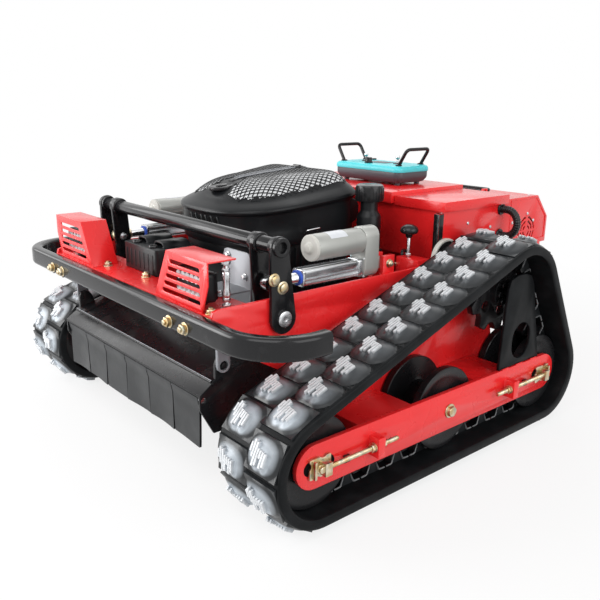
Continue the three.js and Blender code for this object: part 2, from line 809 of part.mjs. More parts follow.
// Side walls, shelf, floor, rear wall, cross beam with the deck's hinge lugs, and the actuator brackets
function makeHull() {
  const wallOutline = rounded([
    [hullNoseY, hullNoseZ, hullCorner / 2], [hullChinY, hullBottomZ, hullCorner], [hullSkirtRearY - hullCorner, hullBottomZ],
    [hullSkirtRearY, hullBottomZ + hullCorner], [hullSkirtRearY, hullTopZ], [hullNoseY, hullTopZ, hullCorner / 2],
  ]);
  const wall = slab('x', wallOutline, hullX - hullWall, hullX);
  const holes = [
    hole('x', pivotY, pivotZ, pivotRadius + runGap, hullX - hullWall - overrun, hullX + overrun),
    hole('x', sprocketY, sprocketZ, driveShaftRadius + runGap, hullX - hullWall - overrun, hullX + overrun),
  ];
  const bracketZ = hullTopZ - actuatorBracketWidth;
  const bracketHalf = actuatorBracketLength / 2;
  const cheekTop = armPinZ + bracketHalf;
  const outerCheekX = actuatorX + actuatorClevisWidth / 2 + gap;
  const innerCheekX = actuatorX - actuatorClevisWidth / 2 - gap;
  const y0 = actuatorBracketY - bracketHalf;
  const y1 = actuatorBracketY + bracketHalf;
  const bracket = [
    block(innerCheekX - actuatorBracketWidth, hullX - overrun, y0, y1, bracketZ - actuatorBracketWidth, bracketZ),
    block(outerCheekX, outerCheekX + actuatorBracketWidth, y0, y1, bracketZ - overrun, cheekTop),
    block(innerCheekX - actuatorBracketWidth, innerCheekX, y0, y1, bracketZ - overrun, cheekTop),
    bar('x', actuatorBracketY, armPinZ, armPinRadius, innerCheekX - overrun, outerCheekX + overrun),
  ];
  const chokeBase = block(
    chokeX - chokeBaseSize / 2, hullX - overrun, chokeY - chokeBaseSize / 2, chokeY + chokeBaseSize / 2,
    chokeBaseZ, chokeBaseTopZ,
  );
  const beamHalf = crossBeamSize / 2;
  const lug = cut(
    block(
      deckHingeX - deckHingeLug / 2, deckHingeX + deckHingeLug / 2, deckHingeY - deckHingeRadius * 2,
      crossBeamY - beamHalf + overrun, deckHingeZ - deckHingeRadius * 2, crossBeamZ + crossBeamSize,
    ),
    [hole('x', deckHingeY, deckHingeZ, deckHingeRadius + runGap, deckHingeX - deckHingeLug, deckHingeX + deckHingeLug)],
  );
  const side = join([cut(wall, holes), ...bracket, lug]);
  const choke = cut(chokeBase, [
    hole('z', chokeX, chokeY, chokeStemRadius + runGap, chokeBaseZ + chokeStemRadius, chokeBaseTopZ + overrun),
  ]);
  const inner = hullX - hullWall + overrun / 2;
  const middle = [
    block(-inner, inner, hullNoseY, shelfRearY, shelfZ - shelfThickness, shelfZ),
    block(-inner, inner, hullNoseY, hullNoseY + hullWall, hullNoseZ + hullWall, shelfZ),
    block(-inner, inner, hullFloorFrontY, hullSkirtRearY, hullFloorZ, hullFloorZ + hullWall),
    block(-inner, inner, hullSkirtRearY - hullWall, hullSkirtRearY, hullFloorZ, hullTopZ - hullWall),
    block(-inner, inner, crossBeamY - beamHalf, crossBeamY + beamHalf, crossBeamZ, crossBeamZ + crossBeamSize),
  ];
  return join([side, mirrored(side), choke, ...middle]);
}

// Bumper: a straight rectangular tube whose ends sweep back in quarter circles
function makeBumper() {
  const innerRadius = bumperRadius - bumperDepth;
  const centreX = bumperHalfWidth - bumperRadius;
  const centreY = frontY + bumperRadius;
  const shape = new THREE.Shape();
  shape.moveTo(-bumperHalfWidth, centreY + bumperTail);
  shape.absarc(-centreX, centreY, bumperRadius, Math.PI, 1.5 * Math.PI);
  shape.absarc(centreX, centreY, bumperRadius, 1.5 * Math.PI, 2 * Math.PI);
  shape.lineTo(bumperHalfWidth, centreY + bumperTail);
  shape.lineTo(bumperHalfWidth - bumperDepth, centreY + bumperTail);
  shape.absarc(centreX, centreY, innerRadius, 2 * Math.PI, 1.5 * Math.PI, true);
  shape.absarc(-centreX, centreY, innerRadius, 1.5 * Math.PI, Math.PI, true);
  shape.lineTo(-bumperHalfWidth + bumperDepth, centreY + bumperTail);
  shape.closePath();
  return slab('z', shape, bumperTopZ - bumperHeight, bumperTopZ, fine / 4);
}

// Sheet-metal guard over a lamp: slotted front, roof and inner cheek, open on the outer side
function makeLampGuard() {
  const z0 = shelfZ + gap;
  const rise = lampGuardTopZ - z0;
  const innerX = (z) => lampGuardInnerX + ((lampGuardTopInnerX - lampGuardInnerX) * (z - z0)) / rise;
  const back = lampGuardFrontY + lampGuardDepth;
  const front = slab('y', [
    [lampGuardInnerX, z0], [lampGuardOuterX, z0], [lampGuardKinkX, lampGuardKinkZ],
    [lampGuardKinkX, lampGuardTopZ], [lampGuardTopInnerX, lampGuardTopZ],
  ], lampGuardFrontY, lampGuardFrontY + lampGuardSheet);
  const cheek = slab('y', [
    [lampGuardInnerX, z0], [lampGuardInnerX + lampGuardSheet, z0],
    [lampGuardTopInnerX + lampGuardSheet, lampGuardTopZ], [lampGuardTopInnerX, lampGuardTopZ],
  ], lampGuardFrontY, back);
  const roof = block(lampGuardTopInnerX, lampGuardKinkX, lampGuardFrontY, back, lampGuardTopZ - lampGuardSheet, lampGuardTopZ);
  const slots = [];
  for (let i = 0; i < lampSlots; i += 1) {
    const z = lampSlotFirstZ + i * lampSlotPitch;
    const outline = roundedRectangle(
      innerX(z) + lampSlotInset, lampGuardOuterX - lampSlotInset / 4, z - lampSlotHeight / 2, z + lampSlotHeight / 2, lampSlotHeight / 2,
    );
    slots.push(slab('y', outline, lampGuardFrontY - overrun, lampGuardFrontY + lampGuardSheet + overrun));
  }
  return cut(join([front, cheek, roof]), slots);
}

// Work lamp on its foot, behind the guard's slots
function makeLamp() {
  const middle = (lampGuardTopInnerX + lampGuardOuterX) / 2;
  const y0 = lampGuardFrontY + lampGuardSheet + lampStandoff;
  const z0 = shelfZ + gap + lampFoot;
  const body = slab('y', roundedRectangle(
    middle - lampWidth / 2, middle + lampWidth / 2, z0, z0 + lampHeight, lampFoot,
  ), y0, y0 + lampDepth);
  const foot = block(
    middle - lampFoot * 2, middle + lampFoot * 2, y0, y0 + lampDepth, shelfZ + gap, z0 + overrun,
  );
  return join([body, foot]);
}

// Threaded stay that holds up the outer edge of the guard's roof
function makeGuardStay() {
  const z0 = shelfZ + gap;
  const z1 = lampGuardTopZ - lampGuardSheet - gap;
  const middle = (z0 + z1) / 2;
  return turned('z', stayX, stayY, [
    [0, z1], [stayFootRadius, z1], [stayFootRadius, z1 - stayFootHeight], [stayRadius, z1 - stayFootHeight],
    [stayRadius, middle + stayFootRadius * 2], [stayBodyRadius, middle + stayFootRadius * 2],
    [stayBodyRadius, middle - stayFootRadius * 2], [stayRadius, middle - stayFootRadius * 2],
    [stayRadius, z0 + stayFootHeight], [stayFootRadius, z0 + stayFootHeight], [stayFootRadius, z0], [0, z0],
  ], pinFacets);
}

// Cross tube, four arms, the pins between them and the cranks that lift the deck
function makeLiftFrame() {
  const arm = (x, width) => slab('x', rounded([
    [pivotY - width / 2, pivotZ - armFoot, width / 3], [pivotY + width / 2, pivotZ - armFoot, width / 3],
    [tubeY + armTopWidth / 2, tubeZ + armTopWidth / 2, armTopWidth / 3],
    [tubeY - armTopWidth / 2, tubeZ + armTopWidth / 2, armTopWidth / 3],
  ]), x, x + armThickness);
  const outer = arm(armOuterX, armLowWidth);
  const inner = arm(armInnerX, armTopWidth);
  const end = armOuterX + armThickness;
  const pin = bar('x', armPinY, armPinZ, armPinRadius, armInnerX, end + overrun, pinFacets);
  const shaft = bar('x', pivotY, pivotZ, pivotRadius, armInnerX, end);
  const head = bar('x', pivotY, pivotZ, pivotHead, end - overrun, end + pivotHeadHeight);
  const tipY = pivotY - crankReach;
  const tipZ = pivotZ - crankDrop;
  const crank = slab('x', rounded([
    [pivotY + crankWidth / 2, pivotZ - crankWidth / 2, crankWidth / 3], [pivotY + crankWidth / 2, pivotZ + crankWidth / 2, crankWidth / 3],
    [tipY - crankWidth / 2, tipZ + crankWidth / 2, crankWidth / 3], [tipY - crankWidth / 2, tipZ - crankWidth / 2, crankWidth / 3],
  ]), crankX - crankThickness / 2, crankX + crankThickness / 2);
  const linkPin = bar('x', tipY, tipZ, linkPinRadius, linkX - linkThickness / 2 - overrun, crankX);
  const boss = bar('x', tubeY, tubeZ, tubeBossRadius, armInnerX - armThickness, armInnerX + armThickness * 2);
  const endBoss = bar('x', tubeY, tubeZ, tubeBossRadius * 0.9, armOuterX - armThickness, end + armThickness);
  const side = join([outer, inner, pin, shaft, head, crank, linkPin, boss, endBoss]);
  const tube = bar('x', tubeY, tubeZ, tubeRadius, -end, end, mediumFacets);
  return join([side, mirrored(side), tube]);
}

const linkX = crankX - crankThickness / 2 - linkThickness / 2 - linkThickness / 4;
const linkTopY = pivotY - crankReach;
const linkTopZ = pivotZ - crankDrop;
const linkBottomZ = linkTopZ - linkLength;
const deckLugX = linkX - linkThickness / 2 - linkThickness / 4;

// Link from the crank down to the deck's lug; its lower eye has free play
function makeDeckLink() {
  const half = linkWidth / 2;
  const body = slab('x', roundedRectangle(
    linkTopY - half, linkTopY + half, linkBottomZ - half, linkTopZ + half, half, 3,
  ), linkX - linkThickness / 2, linkX + linkThickness / 2);
  const x0 = linkX - linkThickness;
  const x1 = linkX + linkThickness;
  return cut(body, [
    hole('x', linkTopY, linkTopZ, linkPinRadius + runGap, x0, x1),
    hole('x', linkTopY, linkBottomZ, linkPinRadius + linkPlay, x0, x1),
  ]);
}

// Actuator's gearbox, square tube with the rod's bore, and tail lug
function makeActuatorHousing() {
  const half = gearboxWidth / 2;
  const gearbox = slab('y', roundedRectangle(
    actuatorX - half, actuatorX + half, gearboxBottomZ, gearboxTopZ, half, 4,
  ), gearboxFrontY, gearboxRearY);
  const tube = slab('y', roundedRectangle(
    actuatorX - actuatorTube, actuatorX + actuatorTube, armPinZ - actuatorTube, armPinZ + actuatorTube, actuatorTube / 4,
  ), actuatorTubeFrontY, gearboxFrontY + overrun);
  const lugHalf = actuatorClevisWidth / 2;
  const lug = slab('x', roundedRectangle(
    gearboxRearY - overrun, actuatorBracketY + lugHalf, armPinZ - lugHalf, armPinZ + lugHalf, lugHalf, 3,
  ), actuatorX - lugHalf, actuatorX + lugHalf);
  return cut(join([gearbox, tube, lug]), [
    hole('y', actuatorX, armPinZ, rodRadius + rodBoreClear, actuatorTubeFrontY - overrun, gearboxFrontY - overrun, mediumFacets),
    hole('x', actuatorBracketY, armPinZ, armPinRadius + runGap, actuatorX - lugHalf - overrun, actuatorX + lugHalf + overrun),
  ]);
}

function makeActuatorMotor() {
  const back = gearboxFrontY - gap;
  return turned('y', actuatorX, motorZ, [
    [0, motorFrontY - motorBossLength], [motorBoss, motorFrontY - motorBossLength], [motorBoss, motorFrontY],
    [motorRadius * 0.94, motorFrontY], [motorRadius, motorFrontY + motorCapLength / 2], [motorRadius, back], [0, back],
  ], mediumFacets);
}

// Chromed rod with the eye that takes the arm's pin
function makeActuatorRod() {
  const eye = bar('x', armPinY, armPinZ, rodEyeRadius, actuatorX - rodEyeWidth / 2, actuatorX + rodEyeWidth / 2, mediumFacets);
  const rod = bar('y', actuatorX, armPinZ, rodRadius, armPinY, actuatorTubeFrontY + rodTail, mediumFacets);
  const eyeHole = hole('x', armPinY, armPinZ, armPinRadius + eyePlay, actuatorX - rodEyeWidth, actuatorX + rodEyeWidth);
  return cut(join([eye, rod]), [eyeHole]);
}

// Deck: folded top sheet, two side plates, rear sheet, hinge arms and the lugs for the links
function makeDeck() {
  const top = [
    [deckFrontY, deckLipZ], [deckShoulderY, deckShoulderZ], [deckSlopeY, deckTopZ], [deckRearY, deckTopZ],
  ];
  const sheet = slab('x', [
    ...top, [deckRearY, deckTopZ - deckSheet], [deckSlopeY, deckTopZ - deckSheet],
    [deckShoulderY, deckShoulderZ - deckSheet], [deckFrontY, deckLipZ - deckSheet],
  ].reverse(), -deckHalfWidth, deckHalfWidth);
  const plate = slab('x', [
    [deckFrontY, deckLipZ - deckSheet * 6], [deckShoulderY, deckSkirtZ], [deckRearY, deckSkirtZ],
    ...[...top].reverse(),
  ], deckHalfWidth - deckSheet, deckHalfWidth);
  const rodHole = hole('x', flapY, flapZ, flapRod + runGap, deckHalfWidth - deckSheet - overrun, deckHalfWidth + overrun);
  const armX = deckHingeX - deckHingeLug;
  const arm = block(
    armX - deckHingeLug / 2, armX + deckHingeLug / 2 - overrun, deckRearY - overrun, deckHingeY + deckHingeRadius,
    deckHingeZ - deckHingeRadius, deckHingeZ + deckHingeRadius,
  );
  const half = linkWidth / 2;
  const lug = slab('x', rounded([
    [linkTopY - half, deckShoulderZ - deckSheet], [linkTopY + half * 2, deckShoulderZ + deckSheet],
    [linkTopY + half, linkBottomZ + half, half], [linkTopY - half, linkBottomZ + half, half],
  ]), deckLugX - linkThickness, deckLugX);
  const lugPin = bar('x', linkTopY, linkBottomZ, linkPinRadius, deckLugX - linkThickness, linkX + linkThickness / 2 + gap);
  const doubler = slab('x', [
    [deckShoulderY, deckShoulderZ - deckSheet], [deckSlopeY, deckTopZ - deckSheet],
    [deckSlopeY, deckTopZ + doublerRise], [deckShoulderY, deckShoulderZ + doublerRise],
  ], deckHalfWidth * doublerShare, deckLugX);
  const side = join([cut(plate, [rodHole]), arm, lug, lugPin, doubler]);
  const rear = block(-deckHalfWidth, deckHalfWidth, deckRearY - deckSheet, deckRearY, deckSkirtZ, deckTopZ);
  const pin = bar('x', deckHingeY, deckHingeZ, deckHingeRadius, -deckHingeX - deckHingeLug, deckHingeX + deckHingeLug);
  const shaftHole = hole('z', engineX, engineY, shaftRadius * 1.5, deckTopZ - deckSheet - overrun, deckTopZ + overrun);
  return cut(join([side, mirrored(side), sheet, rear, pin]), [shaftHole]);
}

// Row of rubber strips that hang from one rod across the front of the deck
function makeFlaps() {
  const rod = bar('x', flapY, flapZ, flapRod, -deckHalfWidth + deckSheet / 2, deckHalfWidth - deckSheet / 2);
  const half = deckHalfWidth - deckSheet - flapClear;
  const width = (2 * half) / flapStrips;
  const parts = [rod];
  for (let i = 0; i < flapStrips; i += 1) {
    const x0 = -half + i * width;
    const bottom = flapZ - flapDrop + flapRod;
    parts.push(block(x0, x0 + width - flapSlit, flapY - flapThickness / 2, flapY + flapThickness / 2, bottom, flapZ));
  }
  return join(parts);
}

// Blade bar with turned-up ends on its boss
function makeBlade() {
  const boss = bar('z', engineX, engineY, bladeBossRadius, shaftBottomZ, shaftBottomZ + bladeBossHeight);
  const half = bladeWidth / 2;
  const flat = block(
    engineX - bladeRadius, engineX + bladeRadius, engineY - half, engineY + half, shaftBottomZ - bladeThickness, shaftBottomZ + overrun / 2,
  );
  const wing = (x0, y0, y1) => block(
    x0, x0 + bladeWidth, y0, y1, shaftBottomZ - bladeThickness, shaftBottomZ + bladeLift,
  );
  const bore = hole('z', engineX, engineY, shaftRadius + gap, shaftBottomZ - gap, shaftBottomZ + bladeBossHeight + overrun);
  return cut(join([
    boss, flat, wing(engineX - bladeRadius, engineY - half, engineY - half + bladeThickness),
    wing(engineX + bladeRadius - bladeWidth, engineY + half - bladeThickness, engineY + half),
  ]), [bore]);
}

const crankcaseFootZ = deckTopZ + gap;
const shaftTopZ = blockZ + shaftRadius * 2;

function makeCrankshaft() {
  return bar('z', engineX, engineY, shaftRadius, shaftBottomZ + gap, shaftTopZ);
}

// Plan of the engine with a round nose and a squarer tail, drawn in by an inset
function enginePlan(inset) {
  const x0 = engineX - engineHalfWidth + inset;
  const x1 = engineX + engineHalfWidth - inset;
  const nose = engineNoseRadius - inset;
  const tail = engineTailRadius - inset / 2;
  return rounded([
    [x0, engineFrontY + inset, nose], [x1, engineFrontY + inset, nose],
    [x1, engineRearY - inset, tail], [x0, engineRearY - inset, tail],
  ]);
}

// Crankcase and cylinder block with its mounting flange and the shelf for the filler
function makeEngineBlock() {
  const body = slab('z', enginePlan(blockInset), blockZ, coverSkirtZ - gap, planFacets);
  const flange = bar('z', engineX, engineY, engineFlange, crankcaseFootZ, blockZ + overrun, mediumFacets);
  const shelf = block(
    engineX, fillerX + fillerRadius, fillerY - fillerArmHalf, fillerY + fillerArmHalf, fillerBottomZ - gap - fillerArmHeight, fillerBottomZ - gap,
  );
  const bore = hole('z', engineX, engineY, shaftRadius + runGap, crankcaseFootZ - overrun, shaftTopZ + overrun);
  return cut(join([body, flange, shelf]), [bore]);
}

// A solid through plan outlines at rising heights; the rim climbs towards the back
function loft(levels) {
  const rings = levels.map(([z, inset, climb]) => enginePlan(inset).getPoints(planFacets).slice(0, -1).map((p) => {
    const back = (p.y - engineFrontY) / (engineRearY - engineFrontY);
    return [p.x, p.y, z + climb * back];
  }));
  const count = rings[0].length;
  const points = rings.flat();
  const faces = [];
  for (let k = 0; k + 1 < rings.length; k += 1) {
    for (let i = 0; i < count; i += 1) {
      const j = (i + 1) % count;
      const [a, b, c, d] = [k * count + i, k * count + j, (k + 1) * count + j, (k + 1) * count + i];
      faces.push(a, b, c, a, c, d);
    }
  }
  const last = (rings.length - 1) * count;
  for (let i = 1; i + 1 < count; i += 1) {
    faces.push(0, i + 1, i);
    faces.push(last, last + i, last + i + 1);
  }
  const geometry = new THREE.BufferGeometry();
  geometry.setAttribute('position', new THREE.BufferAttribute(Float32Array.from(points.flat()), 3));
  geometry.setIndex(faces);
  return solid(geometry);
}

// Moulded cover: skirt, overhanging rim and dome, hollow from below
function makeEngineCover() {
  const domeZ = coverTopZ - coverRise;
  const outer = loft([
    [coverSkirtZ, coverWall * 2, 0], [coverRimFrontZ, coverWall * 2, coverRise], [coverRimFrontZ + coverWall, 0, coverRise],
    [coverRimFrontZ + coverWall * 2, 0, coverRise], [coverRimFrontZ + coverWall * 4, coverDomeInset, coverRise],
    [domeZ - coverWall, coverDomeInset * 2, coverRise], [domeZ, coverDomeInset * 3, coverRise],
  ]);
  const inner = loft([
    [coverSkirtZ - overrun, coverWall * 3, 0], [coverRimFrontZ, coverWall * 3, coverRise],
    [coverRimFrontZ + coverWall * 2, coverDomeInset + coverWall, coverRise],
    [domeZ - coverWall * 2, coverDomeInset * 2 + coverWall, coverRise],
  ]);
  return cut(outer, [inner]);
}

function makeFiller() {
  return turned('z', fillerX, fillerY, [
    [0, fillerTopZ], [fillerNeckRadius, fillerTopZ], [fillerNeckRadius, fillerShoulderZ],
    [fillerRadius, fillerShoulderZ - fillerNeckRadius / 2], [fillerRadius, fillerBottomZ], [0, fillerBottomZ],
  ], mediumFacets);
}

// Cap that turns on the filler neck
function makeFuelCap() {
  const bore = fillerNeckRadius + runGap;
  const skirtZ = fillerTopZ - fuelCapSkirt;
  const inside = fillerTopZ + gap;
  return turned('z', fillerX, fillerY, [
    [0, fuelCapTopZ], [fuelCapRadius * 0.92, fuelCapTopZ], [fuelCapRadius, fuelCapTopZ - gap * 10],
    [fuelCapRadius, skirtZ], [bore, skirtZ], [bore, inside], [0, inside],
  ], mediumFacets);
}

function makeMuffler() {
  const body = turned('y', mufflerX, mufflerZ, [
    [0, mufflerFrontY], [mufflerRadius * 0.8, mufflerFrontY], [mufflerRadius, mufflerFrontY + mufflerPort],
    [mufflerRadius, mufflerRearY - mufflerPort], [mufflerRadius * 0.8, mufflerRearY], [0, mufflerRearY],
  ], mediumFacets);
  const middle = (mufflerFrontY + mufflerRearY) / 2;
  const wall = engineX - engineHalfWidth + blockInset - gap;
  return join([body, bar('x', middle, mufflerZ, mufflerPort, mufflerX, wall)]);
}

// Plastic box on the shelf with two moulded grips
function makeFrontBox() {
  const body = slab('z', roundedRectangle(
    frontBoxX0, frontBoxX1, frontBoxFrontY, frontBoxRearY, gripInset / 2,
  ), shelfZ + gap, frontBoxTopZ);
  const grips = [-1, 1].map((side) => {
    const middle = (frontBoxX0 + frontBoxX1) / 2 + (side * (frontBoxX1 - frontBoxX0)) / 4;
    const half = (frontBoxX1 - frontBoxX0) / 4 - gripInset;
    const arch = slab('y', roundedRectangle(
      middle - half, middle + half, frontBoxTopZ - gripHeight, frontBoxTopZ + gripHeight, gripHeight, 3,
    ), frontBoxFrontY + gripInset * 2, frontBoxRearY - gripInset);
    const hollow = slab('y', roundedRectangle(
      middle - half + gripInset / 3, middle + half - gripInset / 3, frontBoxTopZ - gripHeight, frontBoxTopZ + gripHeight - gripInset / 3, gripHeight, 3,
    ), frontBoxFrontY, frontBoxRearY);
    return cut(arch, [hollow.subtract(block(
      frontBoxX0, frontBoxX1, frontBoxFrontY, frontBoxRearY, shelfZ, frontBoxTopZ,
    ))]);
  });
  return join([body, ...grips]);
}

function makeShield() {
  const foot = block(shieldX0, shieldX1, shieldFootY, shieldY, shelfZ + gap, shelfZ + gap + shieldThickness);
  const plate = slab('y', rounded([
    [shieldX0, shieldZ], [shieldX1, shieldZ], [shieldX1, shieldTopZ, gripInset], [shieldX0, shieldTopZ, gripInset],
  ]), shieldY - shieldThickness, shieldY);
  return join([plate, foot]);
}

const boxFloorZ = hullTopZ + gap;
const hoseHole = hoseRadius + hoseRib / 2 + gap;

// The box's side view, drawn in by a wall; the bottom is left open by an overrun
function boxProfile(wall) {
  const z0 = wall > 0 ? boxFloorZ - overrun : boxFloorZ;
  return [
    [boxFrontY + wall, z0], [rearY - wall, z0], [rearY - wall, boxSlopeZ - wall / 2], [boxSlopeY - wall / 2, boxTopZ - wall],
    [boxFrontY + wall, boxTopZ - wall],
  ];
}

// Raised hood on the box with a waisted front; its face starts on the box's front
function hoodProfile(wall) {
  return rounded([
    [hoodRearY - wall, boxTopZ - boxSheet * 2], [hoodRearY - wall, hoodTopZ - wall],
    [hoodFrontY + wall, hoodTopZ - wall], [hoodFrontY + wall, hoodTopZ - hoodLip + wall],
    [boxFrontY + hoodWaist / 3 + wall, boxTopZ - boxSheet * 2],
  ].reverse());
}

// Sheet-metal control box with its hood, lid mouth, vent, cable holes, handle ears, hinge ears and corner post
function makeControlBox() {
  const shell = cut(slab('x', boxProfile(0), -boxX, boxX), [slab('x', boxProfile(boxSheet), -boxX + boxSheet, boxX - boxSheet)]);
  const hood = slab('x', hoodProfile(0), hoodX0, hoodX1);
  const hoodRoom = slab('x', hoodProfile(boxSheet), hoodX0 + boxSheet, hoodX1 - boxSheet);
  const mouth = block(
    lidX0 + lidMouthInset, boxX - lidMouthInset, lidFrontY + lidMouthInset * 2, lidRearY - lidMouthInset * 2,
    boxTopZ - boxSheet - overrun, boxTopZ + overrun,
  );
  const holes = [mouth];
  for (const z of [hoseTopZ, hoseBottomZ]) {
    holes.push(hole('x', hoseY, z, hoseHole, boxX - boxSheet - overrun, boxX + overrun, pinFacets));
  }
  for (let i = 0; i < ventRings; i += 1) {
    const radius = ventRadius - i * ventPitch;
    const slot = cut(bar('x', ventY, ventZ, radius, boxX - boxSheet - overrun, boxX + overrun), [
      bar('x', ventY, ventZ, radius - ventSlot, boxX - boxSheet - overrun, boxX + overrun),
      block(boxX - boxSheet - overrun, boxX + overrun, ventY - ventSlot, ventY + ventSlot, ventZ - ventRadius, ventZ + ventRadius),
      block(boxX - boxSheet - overrun, boxX + overrun, ventY - ventRadius, ventY + ventRadius, ventZ - ventSlot / 2, ventZ + ventSlot / 2),
    ]);
    holes.push(slot);
  }
  const post = block(boxX - postSize, boxX, boxFrontY - postSize, boxFrontY + overrun / 2, boxFloorZ, postTopZ);
  const parts = [shell, hood, post];
  for (const x of [handleX0, handleX1 - handleEar]) {
    parts.push(block(x, x + handleEar, handleY - handleRod * 2, handleY + handleRod * 2, boxTopZ - overrun, boxTopZ + handleEarHeight));
    holes.push(hole('x', handleY, handleZ, handleRod / 2 + runGap, x - overrun, x + handleEar + overrun, pinFacets));
  }
  for (const x of [lidX0, boxX - lidHingeRadius * 2]) {
    const x1 = x + lidHingeRadius * 2;
    const y0 = lidHingeY - lidHingeRadius;
    parts.push(block(x, x1, y0, y0 + lidHingeRadius * 2, boxTopZ - overrun, lidHingeZ));
    parts.push(bar('x', lidHingeY, lidHingeZ, lidHingeRadius, x, x1));
    holes.push(hole('x', lidHingeY, lidHingeZ, lidHingeRadius / 2 + runGap, x - overrun, x1 + overrun, pinFacets));
  }
  return cut(join(parts), [hoodRoom, ...holes]);
}

const lidHingeY = lidRearY + lidHingeRadius + gap;
const lidHingeZ = boxTopZ + lidHingeRadius + gap * 2;
const handleZ = boxTopZ + handleEarHeight / 2;

// Hinged lid: a flat top with a folded skirt on three sides and its hinge barrel
function makeLid() {
  const seat = boxTopZ + gap;
  const outer = block(lidX0, lidX1, lidFrontY, lidRearY, lidTopZ - lidSkirt, lidTopZ);
  const clear = boxX + gap;
  const roomTop = lidTopZ - boxSheet;
  const room = block(lidX0 - overrun, clear, boxFrontY - gap * 2, lidRearY + overrun, lidTopZ - lidSkirt - overrun, seat);
  const hollow = block(lidX0 + boxSheet, clear, boxFrontY - gap * 2, lidRearY - boxSheet, seat - overrun, roomTop);
  const postRoom = block(boxX - postSize - gap, clear, lidFrontY - overrun, boxFrontY, lidTopZ - lidSkirt - overrun, postTopZ + gap);
  const x0 = lidX0 + lidHingeRadius * 2 + gap;
  const x1 = boxX - lidHingeRadius * 2 - gap;
  const barrel = bar('x', lidHingeY, lidHingeZ, lidHingeRadius, x0, x1);
  const web = block(x0, x1, lidRearY - boxSheet, lidHingeY, lidHingeZ, lidTopZ);
  const pin = bar('x', lidHingeY, lidHingeZ, lidHingeRadius / 2, lidX0 + overrun, boxX - overrun, pinFacets);
  const front = cut(outer, [room, hollow, postRoom]);
  return join([front, barrel, web, pin]);
}

// Folding bar handle
function makeHandle() {
  const x0 = handleX0 + handleEar + handleRod + gap;
  const x1 = handleX1 - handleEar - handleRod - gap;
  const y1 = handleY + handleReach;
  return join([
    bar('x', handleY, handleZ, handleRod / 2, handleX0 + overrun, handleX1 - overrun, pinFacets),
    bar('y', x0, handleZ, handleRod, handleY, y1, pinFacets), bar('y', x1, handleZ, handleRod, handleY, y1, pinFacets),
    bar('x', y1, handleZ, handleRod, x0 - handleRod, x1 + handleRod, pinFacets),
  ]);
}

function makeSideCover() {
  const x0 = boxX + gap;
  return turned('x', discY, discZ, [
    [0, x0], [discRadius, x0], [discRadius, x0 + discThickness * 0.8], [discRadius * 0.9, x0 + discThickness], [0, x0 + discThickness],
  ], mediumFacets);
}

// Mushroom pull knob on its stem
function makeChokeKnob() {
  const top = chokeKnobZ + chokeKnobRadius * 0.45;
  const bottom = chokeKnobZ - chokeKnobRadius * 0.5;
  return turned('z', chokeX, chokeY, [
    [0, top], [chokeKnobRadius * 0.7, top - gap * 2], [chokeKnobRadius, chokeKnobZ], [chokeKnobRadius * 0.8, bottom],
    [chokeKnobRadius * 0.4, bottom - chokeStemRadius * 2], [chokeStemRadius, bottom - chokeStemRadius * 3],
    [chokeStemRadius, chokeBaseZ + chokeStemRadius * 2], [0, chokeBaseZ + chokeStemRadius * 2],
  ], coarse);
}

// Corrugated cable hose that leaves the box, bulges out and goes back in lower down
function makeHose() {
  const x0 = boxX - hoseTail;
  const half = (hoseTopZ - hoseBottomZ) / 2;
  const middle = hoseBottomZ + half;
  const steps = hoseRibs * 2;
  const sides = 8;
  const straight = hoseRadius * 2 + hoseTail;
  const arc = Math.PI * half;
  const total = arc + 2 * straight;
  const at = (share) => {
    const s = share * total;
    if (s < straight) return { x: x0 + s, z: hoseTopZ, angle: Math.PI / 2 };
    if (s > straight + arc) return { x: x0 + total - s, z: hoseBottomZ, angle: -Math.PI / 2 };
    const angle = Math.PI / 2 - (s - straight) / half;
    return { x: x0 + straight + half * (hoseBulge / half) * Math.cos(angle), z: middle + half * Math.sin(angle), angle };
  };
  const points = [];
  const ring = (share, radius) => {
    const p = at(share);
    for (let k = 0; k < sides; k += 1) {
      const a = (2 * Math.PI * k) / sides;
      const out = radius * Math.cos(a);
      points.push(p.x + out * Math.cos(p.angle), hoseY + radius * Math.sin(a), p.z + out * Math.sin(p.angle));
    }
  };
  for (let i = 0; i <= steps; i += 1) ring(i / steps, hoseRadius + (i % 2 === 0 ? hoseRib / 2 : -hoseRib / 2));
  const boreRings = Math.ceil(hoseRibs / 2);
  for (let i = boreRings; i >= 0; i -= 1) ring(i / boreRings, hoseBore);
  const rings = points.length / (3 * sides);
  const faces = [];
  for (let i = 0; i < rings; i += 1) {
    const next = (i + 1) % rings;
    for (let k = 0; k < sides; k += 1) {
      const j = (k + 1) % sides;
      faces.push(i * sides + k, next * sides + j, i * sides + j, i * sides + k, next * sides + k, next * sides + j);
    }
  }
  const geometry = new THREE.BufferGeometry();
  geometry.setAttribute('position', new THREE.BufferAttribute(Float32Array.from(points), 3));
  geometry.setIndex(faces);
  return solid(geometry);
}

const remotePlan = (inset) => roundedRectangle(
  remoteX0 + inset, remoteX1 - inset, remoteFrontY + inset, remoteRearY - inset, remoteCorner, 4,
);

function makeRemoteBase() {
  const body = slab('z', remotePlan(gap * 4), remoteSeatZ, remoteSplitZ);
  const feet = [];
  const r = remoteFootHeight * 1.4;
  for (const x of [remoteX0 + remoteFootInset, remoteX1 - remoteFootInset]) {
    for (const y of [remoteFrontY + remoteFootInset, remoteRearY - remoteFootInset]) {
      feet.push(bar('z', x, y, r, hoodTopZ + gap, remoteSeatZ + overrun, pinFacets));
    }
  }
  return join([body, ...feet]);
}

const stickY = (remoteFrontY + remoteRearY) / 2;
const stickX = (side) => (side > 0 ? remoteX1 - stickInset : remoteX0 + stickInset);

